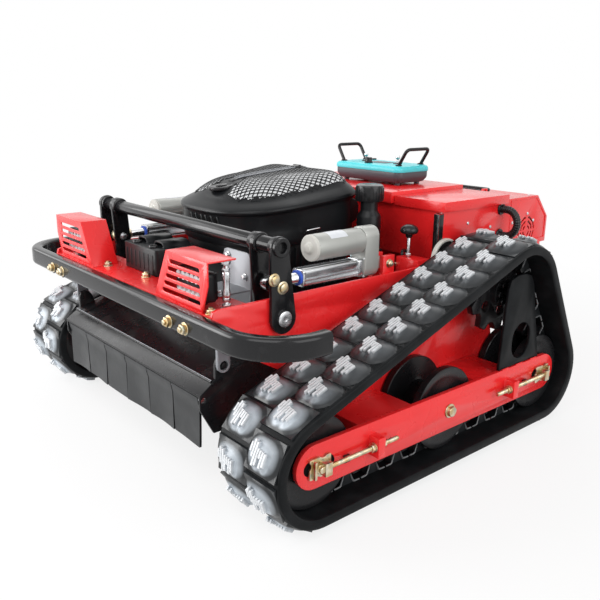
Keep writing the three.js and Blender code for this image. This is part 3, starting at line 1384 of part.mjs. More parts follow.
function makeRemoteTop() {
  const z0 = remoteSplitZ + gap;
  const lower = slab('z', remotePlan(0), z0, remoteTopZ - remoteFootHeight);
  const upper = slab('z', remotePlan(remoteFootHeight), z0, remoteTopZ);
  const floor = remoteTopZ - stickDepth - stickBall - stickClear;
  const pockets = [-1, 1].map((side) => hole(
    'z', stickX(side), stickY, stickBall + stickClear, floor, remoteTopZ + overrun,
  ));
  return cut(join([lower, upper]), pockets);
}

// Loop handle at one end of the remote, leaning outwards
function makeLoop(side) {
  const x0 = side > 0 ? remoteX1 - loopInset : remoteX0 + loopInset;
  const middle = (remoteFrontY + remoteRearY) / 2;
  const z0 = remoteTopZ + gap;
  const z1 = remoteTopZ + loopHeight;
  const x1 = x0 + side * loopLean;
  const half = loopSpan / 2;
  const cornerShare = loopCorner / loopHeight;
  const path = new THREE.CurvePath();
  const foot0 = new THREE.Vector3(x0, middle - half, z0);
  const foot1 = new THREE.Vector3(x0, middle + half, z0);
  const top0 = new THREE.Vector3(x1, middle - half, z1);
  const top1 = new THREE.Vector3(x1, middle + half, z1);
  const low0 = top0.clone().lerp(foot0, cornerShare);
  const low1 = top1.clone().lerp(foot1, cornerShare);
  const in0 = top0.clone().add(new THREE.Vector3(0, loopCorner, 0));
  const in1 = top1.clone().add(new THREE.Vector3(0, -loopCorner, 0));
  path.add(new THREE.LineCurve3(foot0, low0));
  path.add(new THREE.QuadraticBezierCurve3(low0, top0, in0));
  path.add(new THREE.LineCurve3(in0, in1));
  path.add(new THREE.QuadraticBezierCurve3(in1, top1, low1));
  path.add(new THREE.LineCurve3(low1, foot1));
  const trim = block(
    remoteX0 - loopLean * 2, remoteX1 + loopLean * 2, remoteFrontY - loopSpan, remoteRearY + loopSpan, remoteSeatZ, z0,
  );
  return cut(bent(path, disc(0, 0, loopRod), loopSteps), [trim]);
}

// Small stick with a round tip; its ball turns in a pocket under the remote's face
function makeStick(side) {
  const z0 = remoteTopZ - stickDepth;
  const z1 = remoteTopZ + stickHeight;
  return turned('z', stickX(side), stickY, [
    [0, z1], [stickTip * 0.7, z1 - stickTip * 0.3], [stickTip, z1 - stickTip], [stickTip * 0.7, z1 - stickTip * 1.7],
    [stickRadius, z1 - stickTip * 2], [stickRadius, z0 + stickBall * 0.8], [stickBall, z0 + stickBall * 0.2],
    [stickBall * 0.8, z0 - stickBall * 0.6], [stickBall * 0.4, z0 - stickBall], [0, z0 - stickBall],
  ], coarse);
}

function makeRemoteKnob() {
  const z0 = remoteTopZ + gap;
  return turned('z', knobX, knobY, [
    [0, z0 + knobHeight], [knobRadius * 0.85, z0 + knobHeight], [knobRadius, z0 + knobHeight * 0.8], [knobRadius, z0], [0, z0],
  ], coarse);
}

const finishes = {
  red: { color: 0xc8141a, roughness: 0.35, metalness: 0.1 },
  black: { color: 0x141516, roughness: 0.35, metalness: 0.2 },
  plastic: { color: 0x1c1e20, roughness: 0.55, metalness: 0 },
  rubber: { color: 0x3a3c3f, roughness: 0.6, metalness: 0 },
  zinc: { color: 0xb89a4a, roughness: 0.35, metalness: 0.9 },
  steel: { color: 0xa9abad, roughness: 0.3, metalness: 0.9 },
  silver: { color: 0x9c9c96, roughness: 0.45, metalness: 0.6 },
  cyan: { color: 0x19b5c4, roughness: 0.4, metalness: 0 },
  grey: { color: 0x4a4c50, roughness: 0.5, metalness: 0 },
};
const materials = Object.fromEntries(
  Object.entries(finishes).map(([name, values]) => [name, new THREE.MeshStandardMaterial(values)]),
);

const mower = new THREE.Group();

function put(name, finish, body) {
  const mesh = new THREE.Mesh(geometryOf(body), materials[finish]);
  mesh.name = name;
  mower.add(mesh);
}

function putPair(name, finish, body) {
  put(`${name}_right`, finish, body);
  put(`${name}_left`, finish, mirrored(body));
}

put('hull', 'red', makeHull());
put('bumper', 'black', makeBumper());
putPair('lamp_guard', 'red', makeLampGuard());
putPair('work_lamp', 'black', makeLamp());
put('guard_stay', 'steel', makeGuardStay());
putPair('track_frame', 'red', makeTrackFrame());
putPair('sprocket_guard', 'black', makeSprocketGuard());
putPair('front_roller', 'black', makeRoller(frontAxleY));
putPair('middle_roller', 'black', makeRoller(midAxleY));
putPair('rear_roller', 'black', makeRoller(rearAxleY));
putPair('front_tensioner', 'zinc', makeTensioner(frontAxleY, 1));
putPair('rear_tensioner', 'zinc', makeTensioner(rearAxleY, -1));
putPair('sprocket', 'black', makeSprocket());
putPair('belt', 'rubber', makeBelt());
putPair('drive_motor', 'silver', makeDriveMotor());
put('lift_frame', 'black', makeLiftFrame());
putPair('deck_link', 'steel', makeDeckLink());
putPair('actuator_housing', 'silver', makeActuatorHousing());
putPair('actuator_motor', 'silver', makeActuatorMotor());
putPair('actuator_rod', 'steel', makeActuatorRod());
put('deck_shell', 'black', makeDeck());
put('deck_flaps', 'rubber', makeFlaps());
put('blade', 'steel', makeBlade());
put('crankshaft', 'steel', makeCrankshaft());
put('engine_block', 'plastic', makeEngineBlock());
put('engine_cover', 'plastic', makeEngineCover());
put('fuel_filler', 'plastic', makeFiller());
put('fuel_cap', 'plastic', makeFuelCap());
put('muffler', 'steel', makeMuffler());
put('front_box', 'plastic', makeFrontBox());
put('shield_plate', 'silver', makeShield());
put('control_box', 'red', makeControlBox());
put('control_lid', 'red', makeLid());
put('top_handle', 'black', makeHandle());
put('side_cover', 'black', makeSideCover());
put('choke_knob', 'plastic', makeChokeKnob());
put('cable_hose', 'plastic', makeHose());
put('remote_base', 'grey', makeRemoteBase());
put('remote_top', 'cyan', makeRemoteTop());
put('remote_loop_right', 'black', makeLoop(1));
put('remote_loop_left', 'black', makeLoop(-1));
put('joystick_right', 'steel', makeStick(1));
put('joystick_left', 'steel', makeStick(-1));
put('remote_knob', 'plastic', makeRemoteKnob());

export default mower;
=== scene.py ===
"""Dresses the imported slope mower: tracks, lifting deck with its engine, control box and remote."""
import json
import math

import bmesh
import bpy
from bpy.props import FloatProperty, FloatVectorProperty, IntProperty, PointerProperty
from mathutils import Matrix, Vector
from mathutils.bvhtree import BVHTree

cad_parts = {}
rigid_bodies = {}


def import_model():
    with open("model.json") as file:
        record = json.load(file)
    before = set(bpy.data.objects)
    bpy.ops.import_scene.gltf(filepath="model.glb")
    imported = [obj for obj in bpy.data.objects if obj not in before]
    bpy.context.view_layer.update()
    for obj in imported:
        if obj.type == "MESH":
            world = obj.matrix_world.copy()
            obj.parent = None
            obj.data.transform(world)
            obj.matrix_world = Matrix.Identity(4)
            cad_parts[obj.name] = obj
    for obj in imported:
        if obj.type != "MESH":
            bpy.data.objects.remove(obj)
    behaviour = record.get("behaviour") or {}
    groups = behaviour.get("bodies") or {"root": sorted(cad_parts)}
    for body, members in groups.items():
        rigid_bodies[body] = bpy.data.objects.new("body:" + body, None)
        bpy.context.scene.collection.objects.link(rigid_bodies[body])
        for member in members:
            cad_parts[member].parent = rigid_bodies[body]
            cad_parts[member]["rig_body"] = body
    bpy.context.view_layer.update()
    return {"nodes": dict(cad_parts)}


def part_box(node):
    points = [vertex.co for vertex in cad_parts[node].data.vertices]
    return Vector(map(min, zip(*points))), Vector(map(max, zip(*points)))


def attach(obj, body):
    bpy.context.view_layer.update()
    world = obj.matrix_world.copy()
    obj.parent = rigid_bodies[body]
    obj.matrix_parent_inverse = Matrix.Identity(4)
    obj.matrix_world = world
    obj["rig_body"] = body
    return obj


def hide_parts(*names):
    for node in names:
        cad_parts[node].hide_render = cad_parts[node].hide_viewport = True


bl_info = {
    "name": "Slope mower",
    "version": (1, 0, 0),
    "blender": (4, 5, 0),
    "location": "View3D > Sidebar > Mower",
    "description": "Builds a tracked remote-controlled slope mower piece by piece",
    "category": "Add Mesh",
}

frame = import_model()

MM = 0.001
SIDES = ((1, "right"), (-1, "left"))

# Places in millimetres: x is across the machine, y runs to its back, z is up

TRACK_X = 451.0
BELT_HALF = 90.0
AXLE_Z = 126.0
WHEELS = ((-410.0, AXLE_Z, 90.0), (292.0, AXLE_Z, 90.0), (174.0, 335.0, 94.0))
BAR_FACE = 515.0
STUD_X = 529.0
BOLT_X = (-300.8, -245.8, 245.8, 300.8)
LIFT_PIVOT = (-359, 347)
CROSS_TUBE = (-369, 485)
ROD_PIN = (-363, 408)
CRANK_PIN = (-469, 337)
ACTUATOR_X = 312.0
MOTOR_Z = 463
ENGINE_X = -8.0
BLADE_Y = -160
FILLER = (206, 12)
CHOKE = (296, 52)
FLAP_Y = -510
HOSE_Y = 330
HOSE_Z = (492, 428)
BOX_FACE = 345.4
STICK_X = {1: 70, -1: -46}


def box_mm(node):
    """Lowest and highest corner of a node, in millimetres."""
    low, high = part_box(node)
    return low / MM, high / MM


# Sizes and colours that a user would change


def measure(name, what, default):
    return FloatProperty(name=name, description=what, default=default)


def tint(name, what, default):
    return FloatVectorProperty(name=name, description=what, default=default, subtype="COLOR", size=3)


class CameraSettings(bpy.types.PropertyGroup):
    focal: measure("Focal length", "Lens, in mm on a 36 mm sensor", 42.3)
    azimuth: measure("Azimuth", "Degrees from the front", 49.67)
    elevation: measure("Elevation", "Degrees above the horizon", 15.91)
    roll: measure("Roll", "Degrees about the view", 0.59)
    place: FloatVectorProperty(
        name="Place", description="Where the camera stands", default=(1.3393, -1.1560, 0.7452), subtype="TRANSLATION"
    )


class StageSettings(bpy.types.PropertyGroup):
    floor: tint("Floor", "Colour of the floor", (0.86, 0.86, 0.86))
    white: measure("White", "Share of plain white in the floor as it is seen", 0.8)
    key: measure("Key light", "Power of the main light in watts", 50.0)
    fill: measure("Fill light", "Power of the side light in watts", 38.0)
    rim: measure("Rim light", "Power of the light behind in watts", 26.0)
    low: measure("Low light", "Power of the low light in front in watts", 42.0)
    sky: measure("Sky", "Strength of the sky's light on the machine", 0.42)


class ColourSettings(bpy.types.PropertyGroup):
    red: tint("Red paint", "Sheet metal", (0.84, 0.018, 0.020))
    black: tint("Black paint", "Bumper, arms and deck", (0.008, 0.008, 0.009))
    rubber: tint("Rubber", "Belts", (0.010, 0.0115, 0.013))
    # painted sheen: the grey painted on the lugs' raised mounds, where they would catch the light
    sheen: tint("Sheen", "Rubbed mounds of the lugs", (0.200, 0.220, 0.240))
    # the worn pale tops of the lugs; the guide teeth's lips take a quarter of it as a painted glint
    tread: tint("Tread", "Worn tops of the lugs", (0.66, 0.68, 0.70))
    cyan: tint("Remote top", "Upper shell of the remote", (0.07, 0.66, 0.72))
    grey: tint("Remote base", "Lower shell of the remote", (0.060, 0.066, 0.078))


class BeltSettings(bpy.types.PropertyGroup):
    thickness: measure("Thickness", "Band thickness in mm", 20.0)
    lug_height: measure("Lug height", "Height of a lug in mm", 16.0)
    lug_length: measure("Lug length", "Foot of a lug along the belt in mm", 69.0)
    lug_width: measure("Lug width", "Foot of a lug across the belt in mm", 85.0)
    pitch: measure("Pitch", "Spacing of the lugs in mm", 72.0)
    phase: measure("Phase", "Where the first lug lies, as a share of the pitch", 0.14)
    ribs: IntProperty(name="Ribs", description="Ribs of the comb on a lug", default=7)


class CoverSettings(bpy.types.PropertyGroup):
    cell: measure("Cell", "Size of a cell of the mesh panels in mm", 8.2)
    bar: measure("Bar", "Width of the bars between the cells in mm", 1.4)
    slots: IntProperty(name="Slots", description="Slots in the front of the cover", default=6)


# Shader sums and materials


class Shade:
    """A shader value that takes part in Python sums."""

    def __init__(self, paint, socket):
        self.paint = paint
        self.socket = socket

    def _sum(self, operation, first, second):
        return self.paint.add("ShaderNodeMath", {"operation": operation}, {0: first, 1: second})

    def __add__(self, other):
        return self._sum("ADD", self, other)

    __radd__ = __add__

    def __mul__(self, other):
        return self._sum("MULTIPLY", self, other)

    __rmul__ = __mul__


def equipped(tree, kind, settings, sockets):
    """A node of that kind: its settings are set first, then its sockets' values or links."""
    node = tree.nodes.new(kind)
    for key, value in settings.items():
        setattr(node, key, value)
    for key, value in sockets.items():
        if isinstance(value, Shade):
            tree.links.new(value.socket, node.inputs[key])
        else:
            node.inputs[key].default_value = value
    return node


class Paint:
    """A material or world whose colour, roughness and relief come from its nodes."""

    def __init__(self, name, world=None):
        self.material = world or bpy.data.materials.new(name)
        self.material.use_nodes = True
        self.tree = self.material.node_tree
        self.tree.nodes.clear()
        self.place = None if world else self.add("ShaderNodeTexCoord", out="Object")

    def add(self, kind, settings=None, sockets=None, out=0):
        node = equipped(self.tree, kind, settings or {}, sockets or {})
        return Shade(self, node.outputs[out]) if len(node.outputs) else node

    def cloud(self, scale, detail=3.0, stretch=None):
        """Soft noise from 0 to 1, drawn out along an axis where stretch is given."""
        place = self.place
        if stretch:
            place = self.add("ShaderNodeMapping", {}, {"Vector": place, "Scale": stretch})
        return self.add("ShaderNodeTexNoise", {}, {"Vector": place, "Scale": scale, "Detail": detail}, "Fac")

    def band(self, value, low, high):
        """0 below low, 1 above high."""
        return self.add("ShaderNodeMapRange", {}, {"Value": value, "From Min": low, "From Max": high})

    def mark(self, name):
        """A number that each corner of the piece carries."""
        return self.add("ShaderNodeAttribute", {"attribute_name": name}, out="Fac")

    def seen(self):
        """1 for rays that end in the picture, straight, mirrored or through glass, 0 for light on the machine."""
        most = 0.0
        for kind in ("Camera", "Glossy", "Transmission"):
            ray = self.add("ShaderNodeLightPath", out=f"Is {kind} Ray")
            most = self.add("ShaderNodeMath", {"operation": "MAXIMUM"}, {0: most, 1: ray})
        return most

    def mix(self, share, first, second):
        """From the first colour where the share is 0 to the second where it is 1."""
        first, second = (c if isinstance(c, Shade) else (*c, 1.0) for c in (first, second))
        return self.add("ShaderNodeMix", {"data_type": "RGBA"}, {0: share, 6: first, 7: second}, 2)

    def relief(self, height, depth):
        """A bumped normal; depth is in millimetres."""
        sockets = {"Height": height, "Distance": depth * MM, "Strength": 1.0}
        return self.add("ShaderNodeBump", {}, sockets, "Normal")

    def close(self, colour, roughness, normal, metallic=0.0, coat=0.0, specular=0.5):
        """Ends the material in a surface of that colour."""
        shader = self.add("ShaderNodeBsdfPrincipled", {}, {
            "Base Color": colour, "Roughness": roughness, "Normal": normal, "Metallic": metallic,
            "Coat Weight": coat, "Coat Roughness": 0.08, "Specular IOR Level": specular,
        })
        self.add("ShaderNodeOutputMaterial", {}, {"Surface": shader})
        return self.material


def darker(colour, share):
    return tuple(channel * share for channel in colour)


def lighter(colour, times):
    return tuple(min(1.0, channel * times) for channel in colour)


def paint_red(colours):
    paint = Paint("red_gloss_paint")
    tone = paint.mix(paint.band(paint.cloud(5.0), 0.35, 0.7), colours.red, darker(colours.red, 0.93))
    dust = paint.band(paint.cloud(42.0, 6.0), 0.66, 0.82)
    tone = paint.mix(dust * 0.05, tone, (0.55, 0.30, 0.25))
    peel = paint.relief(paint.cloud(260.0, 1.0), 0.045)
    return paint.close(tone, paint.cloud(16.0) * 0.12 + 0.22 + dust * 0.06, peel, coat=0.25, specular=0.4)


def paint_rubber(colours):
    """Rubber whose lugs carry a painted sheen of grey on their mounds, brightest as a painted highlight at the belt's
    front, and worn pale tops on their combs.
    """
    paint = Paint("belt_rubber")
    tread, rubbed = paint.mark("tread"), paint.mark("rubbed")
    dust = paint.band(paint.cloud(26.0, 7.0), 0.42, 0.70)
    wall = paint.mix(dust * 0.25, colours.rubber, (0.040, 0.044, 0.048))
    # painted sheen: the upper parts and knuckles of the mounds are painted lighter grey
    wall = paint.mix(rubbed * (dust * 0.45 + 0.55), wall, colours.sheen)
    # painted highlight: the front of each belt, where its curve faces the lights, is painted a paler grey on the lugs'
    # raised parts
    along = paint.add("ShaderNodeSeparateXYZ", {}, {0: paint.place}, "Y")
    wear_and_highlight = paint.band(along, -0.37, -0.47) * paint.band(rubbed, 0.04, 0.20)
    wall = paint.mix(wear_and_highlight * (dust * 0.4 + 0.6), wall, lighter(colours.sheen, 2.6))
    top = paint.mix(paint.band(paint.cloud(90.0, 5.0), 0.45, 0.8), colours.tread, darker(colours.tread, 0.7))
    rough = paint.cloud(40.0) * 0.12 + 0.26 + dust * 0.08 + tread * 0.22
    return paint.close(paint.mix(tread, wall, top), rough, paint.relief(paint.cloud(500.0, 4.0), 0.08), specular=0.4)


def paint_zinc(colours):
    paint = Paint("yellow_zinc")
    tone = paint.mix(paint.band(paint.cloud(70.0, 4.0), 0.38, 0.62), (0.52, 0.38, 0.19), (0.72, 0.64, 0.48))
    tone = paint.mix(paint.band(paint.cloud(110.0, 2.0), 0.50, 0.70), tone, (0.40, 0.42, 0.34))
    return paint.close(tone, paint.cloud(120.0) * 0.22 + 0.22, paint.relief(paint.cloud(700.0), 0.05), metallic=1.0)


PAINTS = {"red": paint_red, "rubber": paint_rubber, "zinc": paint_zinc}

# Finishes that go in patches from one colour to another: the material's name, the two colours and how they lie
# A colour is a triple, or a share of one of the user's colours
COATS = {
    "black": ("black_gloss_paint", ("black", 1.0), (0.05, 0.05, 0.052), dict(
        patch=(34.0, 8.0), limits=(0.60, 0.74), share=0.18, gloss=22.0, rough=(0.12, 0.12), wear_and_highlight=0.12,
        grain=(330.0, 2.0), depth=0.05, coat=0.12, specular=0.25)),
    "deck": ("black_satin_paint", ("black", 1.2), (0.05, 0.049, 0.046), dict(
        patch=(20.0, 9.0), limits=(0.56, 0.72), share=0.3, gloss=30.0, rough=(0.16, 0.20), wear_and_highlight=0.12,
        grain=(420.0, 3.0), depth=0.07, specular=0.25)),
    # painted shade: the belt's band is a darker copy (0.45) of the belt rubber, for its sides lying in shade under
    # light from above; the sprocket guards share this near-black finish
    "band": ("band_rubber", ("rubber", 0.45), (0.022, 0.024, 0.026), dict(
        patch=(24.0, 7.0), limits=(0.46, 0.74), share=0.35, gloss=36.0, rough=(0.16, 0.34),
        grain=(420.0, 4.0), depth=0.08, specular=0.1)),
    "flap": ("flap_rubber", ("rubber", 0.9), (0.050, 0.052, 0.054), dict(
        patch=(14.0, 8.0), limits=(0.45, 0.75), share=0.4, gloss=30.0, rough=(0.2, 0.26),
        grain=(160.0, 6.0), depth=0.15, specular=0.35)),
    "steel": ("bright_steel", (0.50, 0.51, 0.53), (0.72, 0.73, 0.74), dict(
        patch=(60.0, 6.0, (1.0, 1.0, 22.0)), rough=(0.2, 0.18), depth=0.04, metallic=1.0)),
    "chrome": ("chromed_rod", (0.72, 0.73, 0.75), (0.85, 0.86, 0.87), dict(
        patch=(40.0, 3.0, (1.0, 30.0, 1.0)), rough=(0.06, 0.06), depth=0.01, metallic=1.0)),
    "alloy": ("extruded_alloy", (0.52, 0.53, 0.55), (0.74, 0.75, 0.76), dict(
        patch=(90.0, 4.0, (1.0, 0.05, 1.0)), rough=(0.18, 0.16), depth=0.03, metallic=1.0)),
    "cast": ("grey_motor_paint", (0.34, 0.345, 0.325), (0.46, 0.465, 0.44), dict(
        patch=(18.0, 5.0), rough=(0.14, 0.28), grain=(380.0, 3.0), depth=0.10, metallic=0.35)),
    "plastic": ("black_moulded_plastic", (0.005, 0.0054, 0.0062), (0.010, 0.011, 0.0125), dict(
        patch=(9.0,), rough=(0.12, 0.26), grain=(1100.0, 2.0), depth=0.05, specular=0.2)),
    "knob": ("black_knob_plastic", (0.008, 0.008, 0.009), (0.016, 0.016, 0.017), dict(
        patch=(30.0,), rough=(0.1, 0.18), grain=(500.0,), depth=0.03, coat=0.1, specular=0.25)),
    # painted shade: near-black finish for slots and openings where only shade is seen
    "pit": ("dark_recess", (0.002, 0.002, 0.002), (0.005, 0.005, 0.005), dict(
        patch=(30.0,), rough=(0.1, 0.7), grain=(400.0,), depth=0.03, specular=0.05)),
    "grille": ("grille_backing", (0.52, 0.53, 0.54), (0.76, 0.77, 0.78), dict(
        patch=(30.0, 4.0), rough=(0.12, 0.34), grain=(300.0,), depth=0.05, metallic=0.1)),
    "sheet": ("grey_sheet", (0.20, 0.21, 0.23), (0.31, 0.32, 0.34), dict(
        patch=(12.0, 6.0), rough=(0.16, 0.36), grain=(280.0,), depth=0.06, metallic=0.3)),
    "cyan": ("remote_cyan", ("cyan", 1.0), ("cyan", 0.84), dict(
        patch=(20.0,), share=0.4, rough=(0.1, 0.32), grain=(900.0,), depth=0.03)),
    "remote": ("remote_grey", ("grey", 1.0), ("grey", 0.8), dict(
        patch=(20.0,), share=0.5, rough=(0.1, 0.38), grain=(900.0,), depth=0.05)),
    "label": ("blank_label", (0.62, 0.64, 0.68), (0.74, 0.76, 0.79), dict(
        patch=(60.0, 4.0), rough=(0.1, 0.3), grain=(200.0,), depth=0.02)),
    "cap": ("motor_cap", (0.48, 0.47, 0.43), (0.62, 0.61, 0.57), dict(
        patch=(40.0, 4.0), rough=(0.14, 0.34), grain=(300.0,), depth=0.05)),
    "blue": ("blue_seal", (0.02, 0.07, 0.50), (0.03, 0.12, 0.62), dict(
        patch=(80.0, 2.0), rough=(0.1, 0.35), grain=(300.0,), depth=0.02)),
    "lens": ("lamp_lens", (0.55, 0.56, 0.58), (0.86, 0.87, 0.88), dict(
        patch=(90.0, 2.0), rough=(0.1, 0.08), grain=(240.0, 0.0), depth=0.25, metallic=0.5, coat=0.8)),
}

MADE = {}


def coated(colours, name, first, second, patch, rough, depth, grain=None, limits=None, share=1.0, gloss=None,
           wear_and_highlight=0.0, **surface):
    """A finish in patches; rough is the spread and the least of its roughness, wear_and_highlight what worn patches add
    to it.
    """
    paint = Paint(name)
    spots = paint.cloud(*patch)
    if limits:
        spots = paint.band(spots, *limits)
    first, second = (darker(getattr(colours, c[0]), c[1]) if isinstance(c[0], str) else c for c in (first, second))
    tone = paint.mix(spots * share, first, second)
    roughness = (paint.cloud(gloss) if gloss else spots) * rough[0] + rough[1] + spots * wear_and_highlight
    return paint.close(tone, roughness, paint.relief(paint.cloud(*grain) if grain else spots, depth), **surface)


def finish(name):
    """The material of that name, made when it is first asked for."""
    if name not in MADE:
        colours = bpy.context.scene.mower_colours
        if name in PAINTS:
            MADE[name] = PAINTS[name](colours)
        else:
            material, first, second, lie = COATS[name]
            MADE[name] = coated(colours, material, first, second, **lie)
    return MADE[name]


# Forms as (corners, faces), in millimetres


def merged(forms):
    corners, faces = [], []
    for points, sides in forms:
        start = len(corners)
        corners += points
        faces += [tuple(i + start for i in side) for side in sides]
    return corners, faces


def oriented(axis, u, v, h):
    """Point from two coordinates across an axis and one along it."""
    return Vector({"x": (h, u, v), "y": (u, h, v), "z": (u, v, h)}[axis])


def swept(rings, closed=False):
    """Skin through rings of equal length."""
    count = len(rings[0])
    corners = [p for ring in rings for p in ring]
    faces = []
    for k in range(len(rings) if closed else len(rings) - 1):
        base, above = k * count, ((k + 1) % len(rings)) * count
        for i in range(count):
            j = (i + 1) % count
            faces.append((base + i, base + j, above + j, above + i))
    if not closed:
        faces.append(tuple(reversed(range(count))))
        faces.append(tuple(range(len(corners) - count, len(corners))))
    return corners, faces


def lathe(axis, u, v, profile, sides=40):
    """A profile of (radius, place) pairs turned about an axis."""
    angles = [2 * math.pi * i / sides for i in range(sides)]
    rings = []
    for radius, place in profile:
        r = max(radius, 0.001)
        rings.append([oriented(axis, u + r * math.cos(a), v + r * math.sin(a), place) for a in angles])
    return swept(rings)


def drum(axis, u, v, radius, start, end, sides=28):
    return lathe(axis, u, v, [(0, start), (radius, start), (radius, end), (0, end)], sides)


def hex_nut(axis, u, v, flats, start, end):
    radius = flats / 2 / math.cos(math.pi / 6)
    profile = [(radius * 0.9, start), (radius, start + 0.8), (radius, end - 0.8), (radius * 0.9, end)]
    return lathe(axis, u, v, [(0, start), *profile, (0, end)], 6)


def threaded(axis, u, v, radius, start, end, pitch=2.0):
    """A threaded stud: a saw-toothed profile turned about its axis."""
    profile = [(0, start), (radius * 0.8, start)]
    place = start + pitch / 2
    while place < end - pitch:
        profile += [(radius, place), (radius * 0.86, place + pitch / 2)]
        place += pitch
    return lathe(axis, u, v, [*profile, (radius * 0.8, end), (0, end)], 16)


def plate(axis, outline, start, end):
    """An outline given depth along an axis."""
    return swept([[oriented(axis, u, v, h) for u, v in outline] for h in (start, end)])


def block(x0, x1, y0, y1, z0, z1):
    return plate("z", [(x0, y0), (x1, y0), (x1, y1), (x0, y1)], z0, z1)


def arc(u, v, radius, start, sweep, steps):
    """Points of an arc, its ends among them."""
    angles = [start + sweep * i / steps for i in range(steps + 1)]
    return [(u + radius * math.cos(a), v + radius * math.sin(a)) for a in angles]


def round_rectangle(u0, u1, v0, v1, radius, steps=8):
    radius = min(radius, (u1 - u0) / 2, (v1 - v0) / 2)
    left, right, low, high = u0 + radius, u1 - radius, v0 + radius, v1 - radius
    points = []
    for quarter, (u, v) in enumerate(((right, high), (left, high), (left, low), (right, low))):
        points += arc(u, v, radius, quarter * math.pi / 2, math.pi / 2, steps)
    return points


def two_circles(u0, v0, r0, u1, v1, r1, steps=20):
    """Outline of a flat bar whose ends are round and may differ in radius."""
    heading = math.atan2(v1 - v0, u1 - u0)
    lean = math.acos((r0 - r1) / math.hypot(u1 - u0, v1 - v0))
    near = arc(u1, v1, r1, heading - lean, 2 * lean, steps)
    return near + arc(u0, v0, r0, heading + lean, 2 * math.pi - 2 * lean, steps)


def tube(points, radius, sides=14, ribs=None):
    """A round bar along points; ribs gives a radius for each point."""
    rings = []
    points = [Vector(p) for p in points]
    side = None
    for i, point in enumerate(points):
        ahead = (points[min(i + 1, len(points) - 1)] - points[max(i - 1, 0)]).normalized()
        if side is None:
            guide = Vector((0, 0, 1)) if abs(ahead.z) < 0.8 else Vector((0, 1, 0))
            side = ahead.cross(guide).normalized()
        else:
            side = (side - ahead * side.dot(ahead)).normalized()
        other = ahead.cross(side)
        r = ribs[i] if ribs else radius
        angles = [2 * math.pi * k / sides for k in range(sides)]
        rings.append([point + side * (r * math.cos(a)) + other * (r * math.sin(a)) for a in angles])
    return swept(rings)


def rounded_corner(before, corner, after, radius, steps):
    """Points of the curve that cuts a corner off at a radius from it."""
    start = corner + (before - corner).normalized() * radius
    end = corner + (after - corner).normalized() * radius
    shares = [i / steps for i in range(steps + 1)]
    return [start * (1 - t) ** 2 + corner * (2 * t * (1 - t)) + end * t ** 2 for t in shares]


def smoothed(points, radius, steps=6):
    """A path whose corners are rounded."""
    points = [Vector(p) for p in points]
    path = [points[0]]
    for before, corner, after in zip(points, points[1:], points[2:]):
        path += rounded_corner(before, corner, after, radius, steps)
    return [*path, points[-1]]


def grid(cols, rows, start=0, turned=False):
    """Faces of a grid of corners that run row by row from a first one."""
    faces = []
    for k in (row * (cols + 1) + col + start for row in range(rows) for col in range(cols)):
        far = k + cols + 1
        faces.append((k, far, far + 1, k + 1) if turned else (k, k + 1, far + 1, far))
    return faces


def grid_border(cols, rows):
    """The corners round the edge of such a grid."""
    wide = cols + 1
    border = list(range(wide)) + [row * wide + cols for row in range(1, rows + 1)]
    border += [rows * wide + col for col in range(cols - 1, -1, -1)]
    return border + [row * wide for row in range(rows - 1, 0, -1)]


def moved(form, matrix):
    return [matrix @ Vector(p) for p in form[0]], form[1]


def mirrored(form):
    return [Vector((-p[0], p[1], p[2])) for p in form[0]], [tuple(reversed(side)) for side in form[1]]


def on_side(side, forms):
    return [form if side > 0 else mirrored(form) for form in forms]


def on_both(forms):
    return on_side(1, forms) + on_side(-1, forms)


# Objects


def linked(name, data):
    piece = bpy.data.objects.new(name, data)
    bpy.context.scene.collection.objects.link(piece)
    return piece


def new_object(name, form):
    mesh = bpy.data.meshes.new(name)
    mesh.from_pydata([tuple(c * MM for c in p) for p in form[0]], [], form[1])
    return linked(name, mesh)


def modified(piece, kind, **settings):
    """The piece with one modifier applied to its mesh; inputs of a node tree are set by their sockets' identifiers."""
    modifier = piece.modifiers.new(kind, kind)
    inputs = settings.pop("inputs", {})
    for key, value in settings.items():
        setattr(modifier, key, value)
    if inputs:
        for socket in modifier.node_group.interface.items_tree:
            if socket.in_out == "INPUT" and socket.name in inputs:
                modifier[socket.identifier] = inputs[socket.name]
    graph = bpy.context.evaluated_depsgraph_get()
    mesh = bpy.data.meshes.new_from_object(piece.evaluated_get(graph), preserve_all_data_layers=True, depsgraph=graph)
    piece.modifiers.clear()
    piece.data = mesh
    return piece


def softened(piece, width, segments=2):
    """The piece with its sharp edges rounded; width is in millimetres."""
    return modified(piece, "BEVEL", width=width * MM, segments=segments, limit_method="ANGLE",
                    angle_limit=math.radians(32.0))


def thickened(piece, thickness, offset):
    return tidied(modified(piece, "SOLIDIFY", thickness=thickness * MM, offset=offset))


def reworked(piece, *steps):
    """The piece after steps that each change its open mesh."""
    work = bmesh.new()
    work.from_mesh(piece.data)
    for step in steps:
        step(work)
    work.to_mesh(piece.data)
    work.free()
    return piece


def without_doubles(distance):
    return lambda work: bmesh.ops.remove_doubles(work, verts=work.verts, dist=distance * MM)


def tidied(piece):
    """Doubles merged and faces turned outwards."""
    return reworked(
        piece, without_doubles(0.02), lambda work: bmesh.ops.recalc_face_normals(work, faces=work.faces)
    )


def dressed(piece, colour, body, nodes=(), angle=34.0):
    """Gives a piece its finish, its body and the nodes that it stands for."""
    piece.data.shade_smooth()
    piece.data.set_sharp_from_angle(angle=math.radians(angle))
    piece.data.materials.clear()
    piece.data.materials.append(finish(colour))
    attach(piece, body)
    if nodes:
        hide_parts(*nodes)
    return piece


def made(name, forms, colour, body, nodes=(), bevel=0.0, segments=2, angle=34.0, side=1):
    """A piece from forms, with its edges rounded, and mirrored where side is -1."""
    piece = tidied(new_object(name, merged(on_side(side, forms))))
    if bevel:
        softened(piece, bevel, segments)
    return dressed(piece, colour, body, nodes, angle)


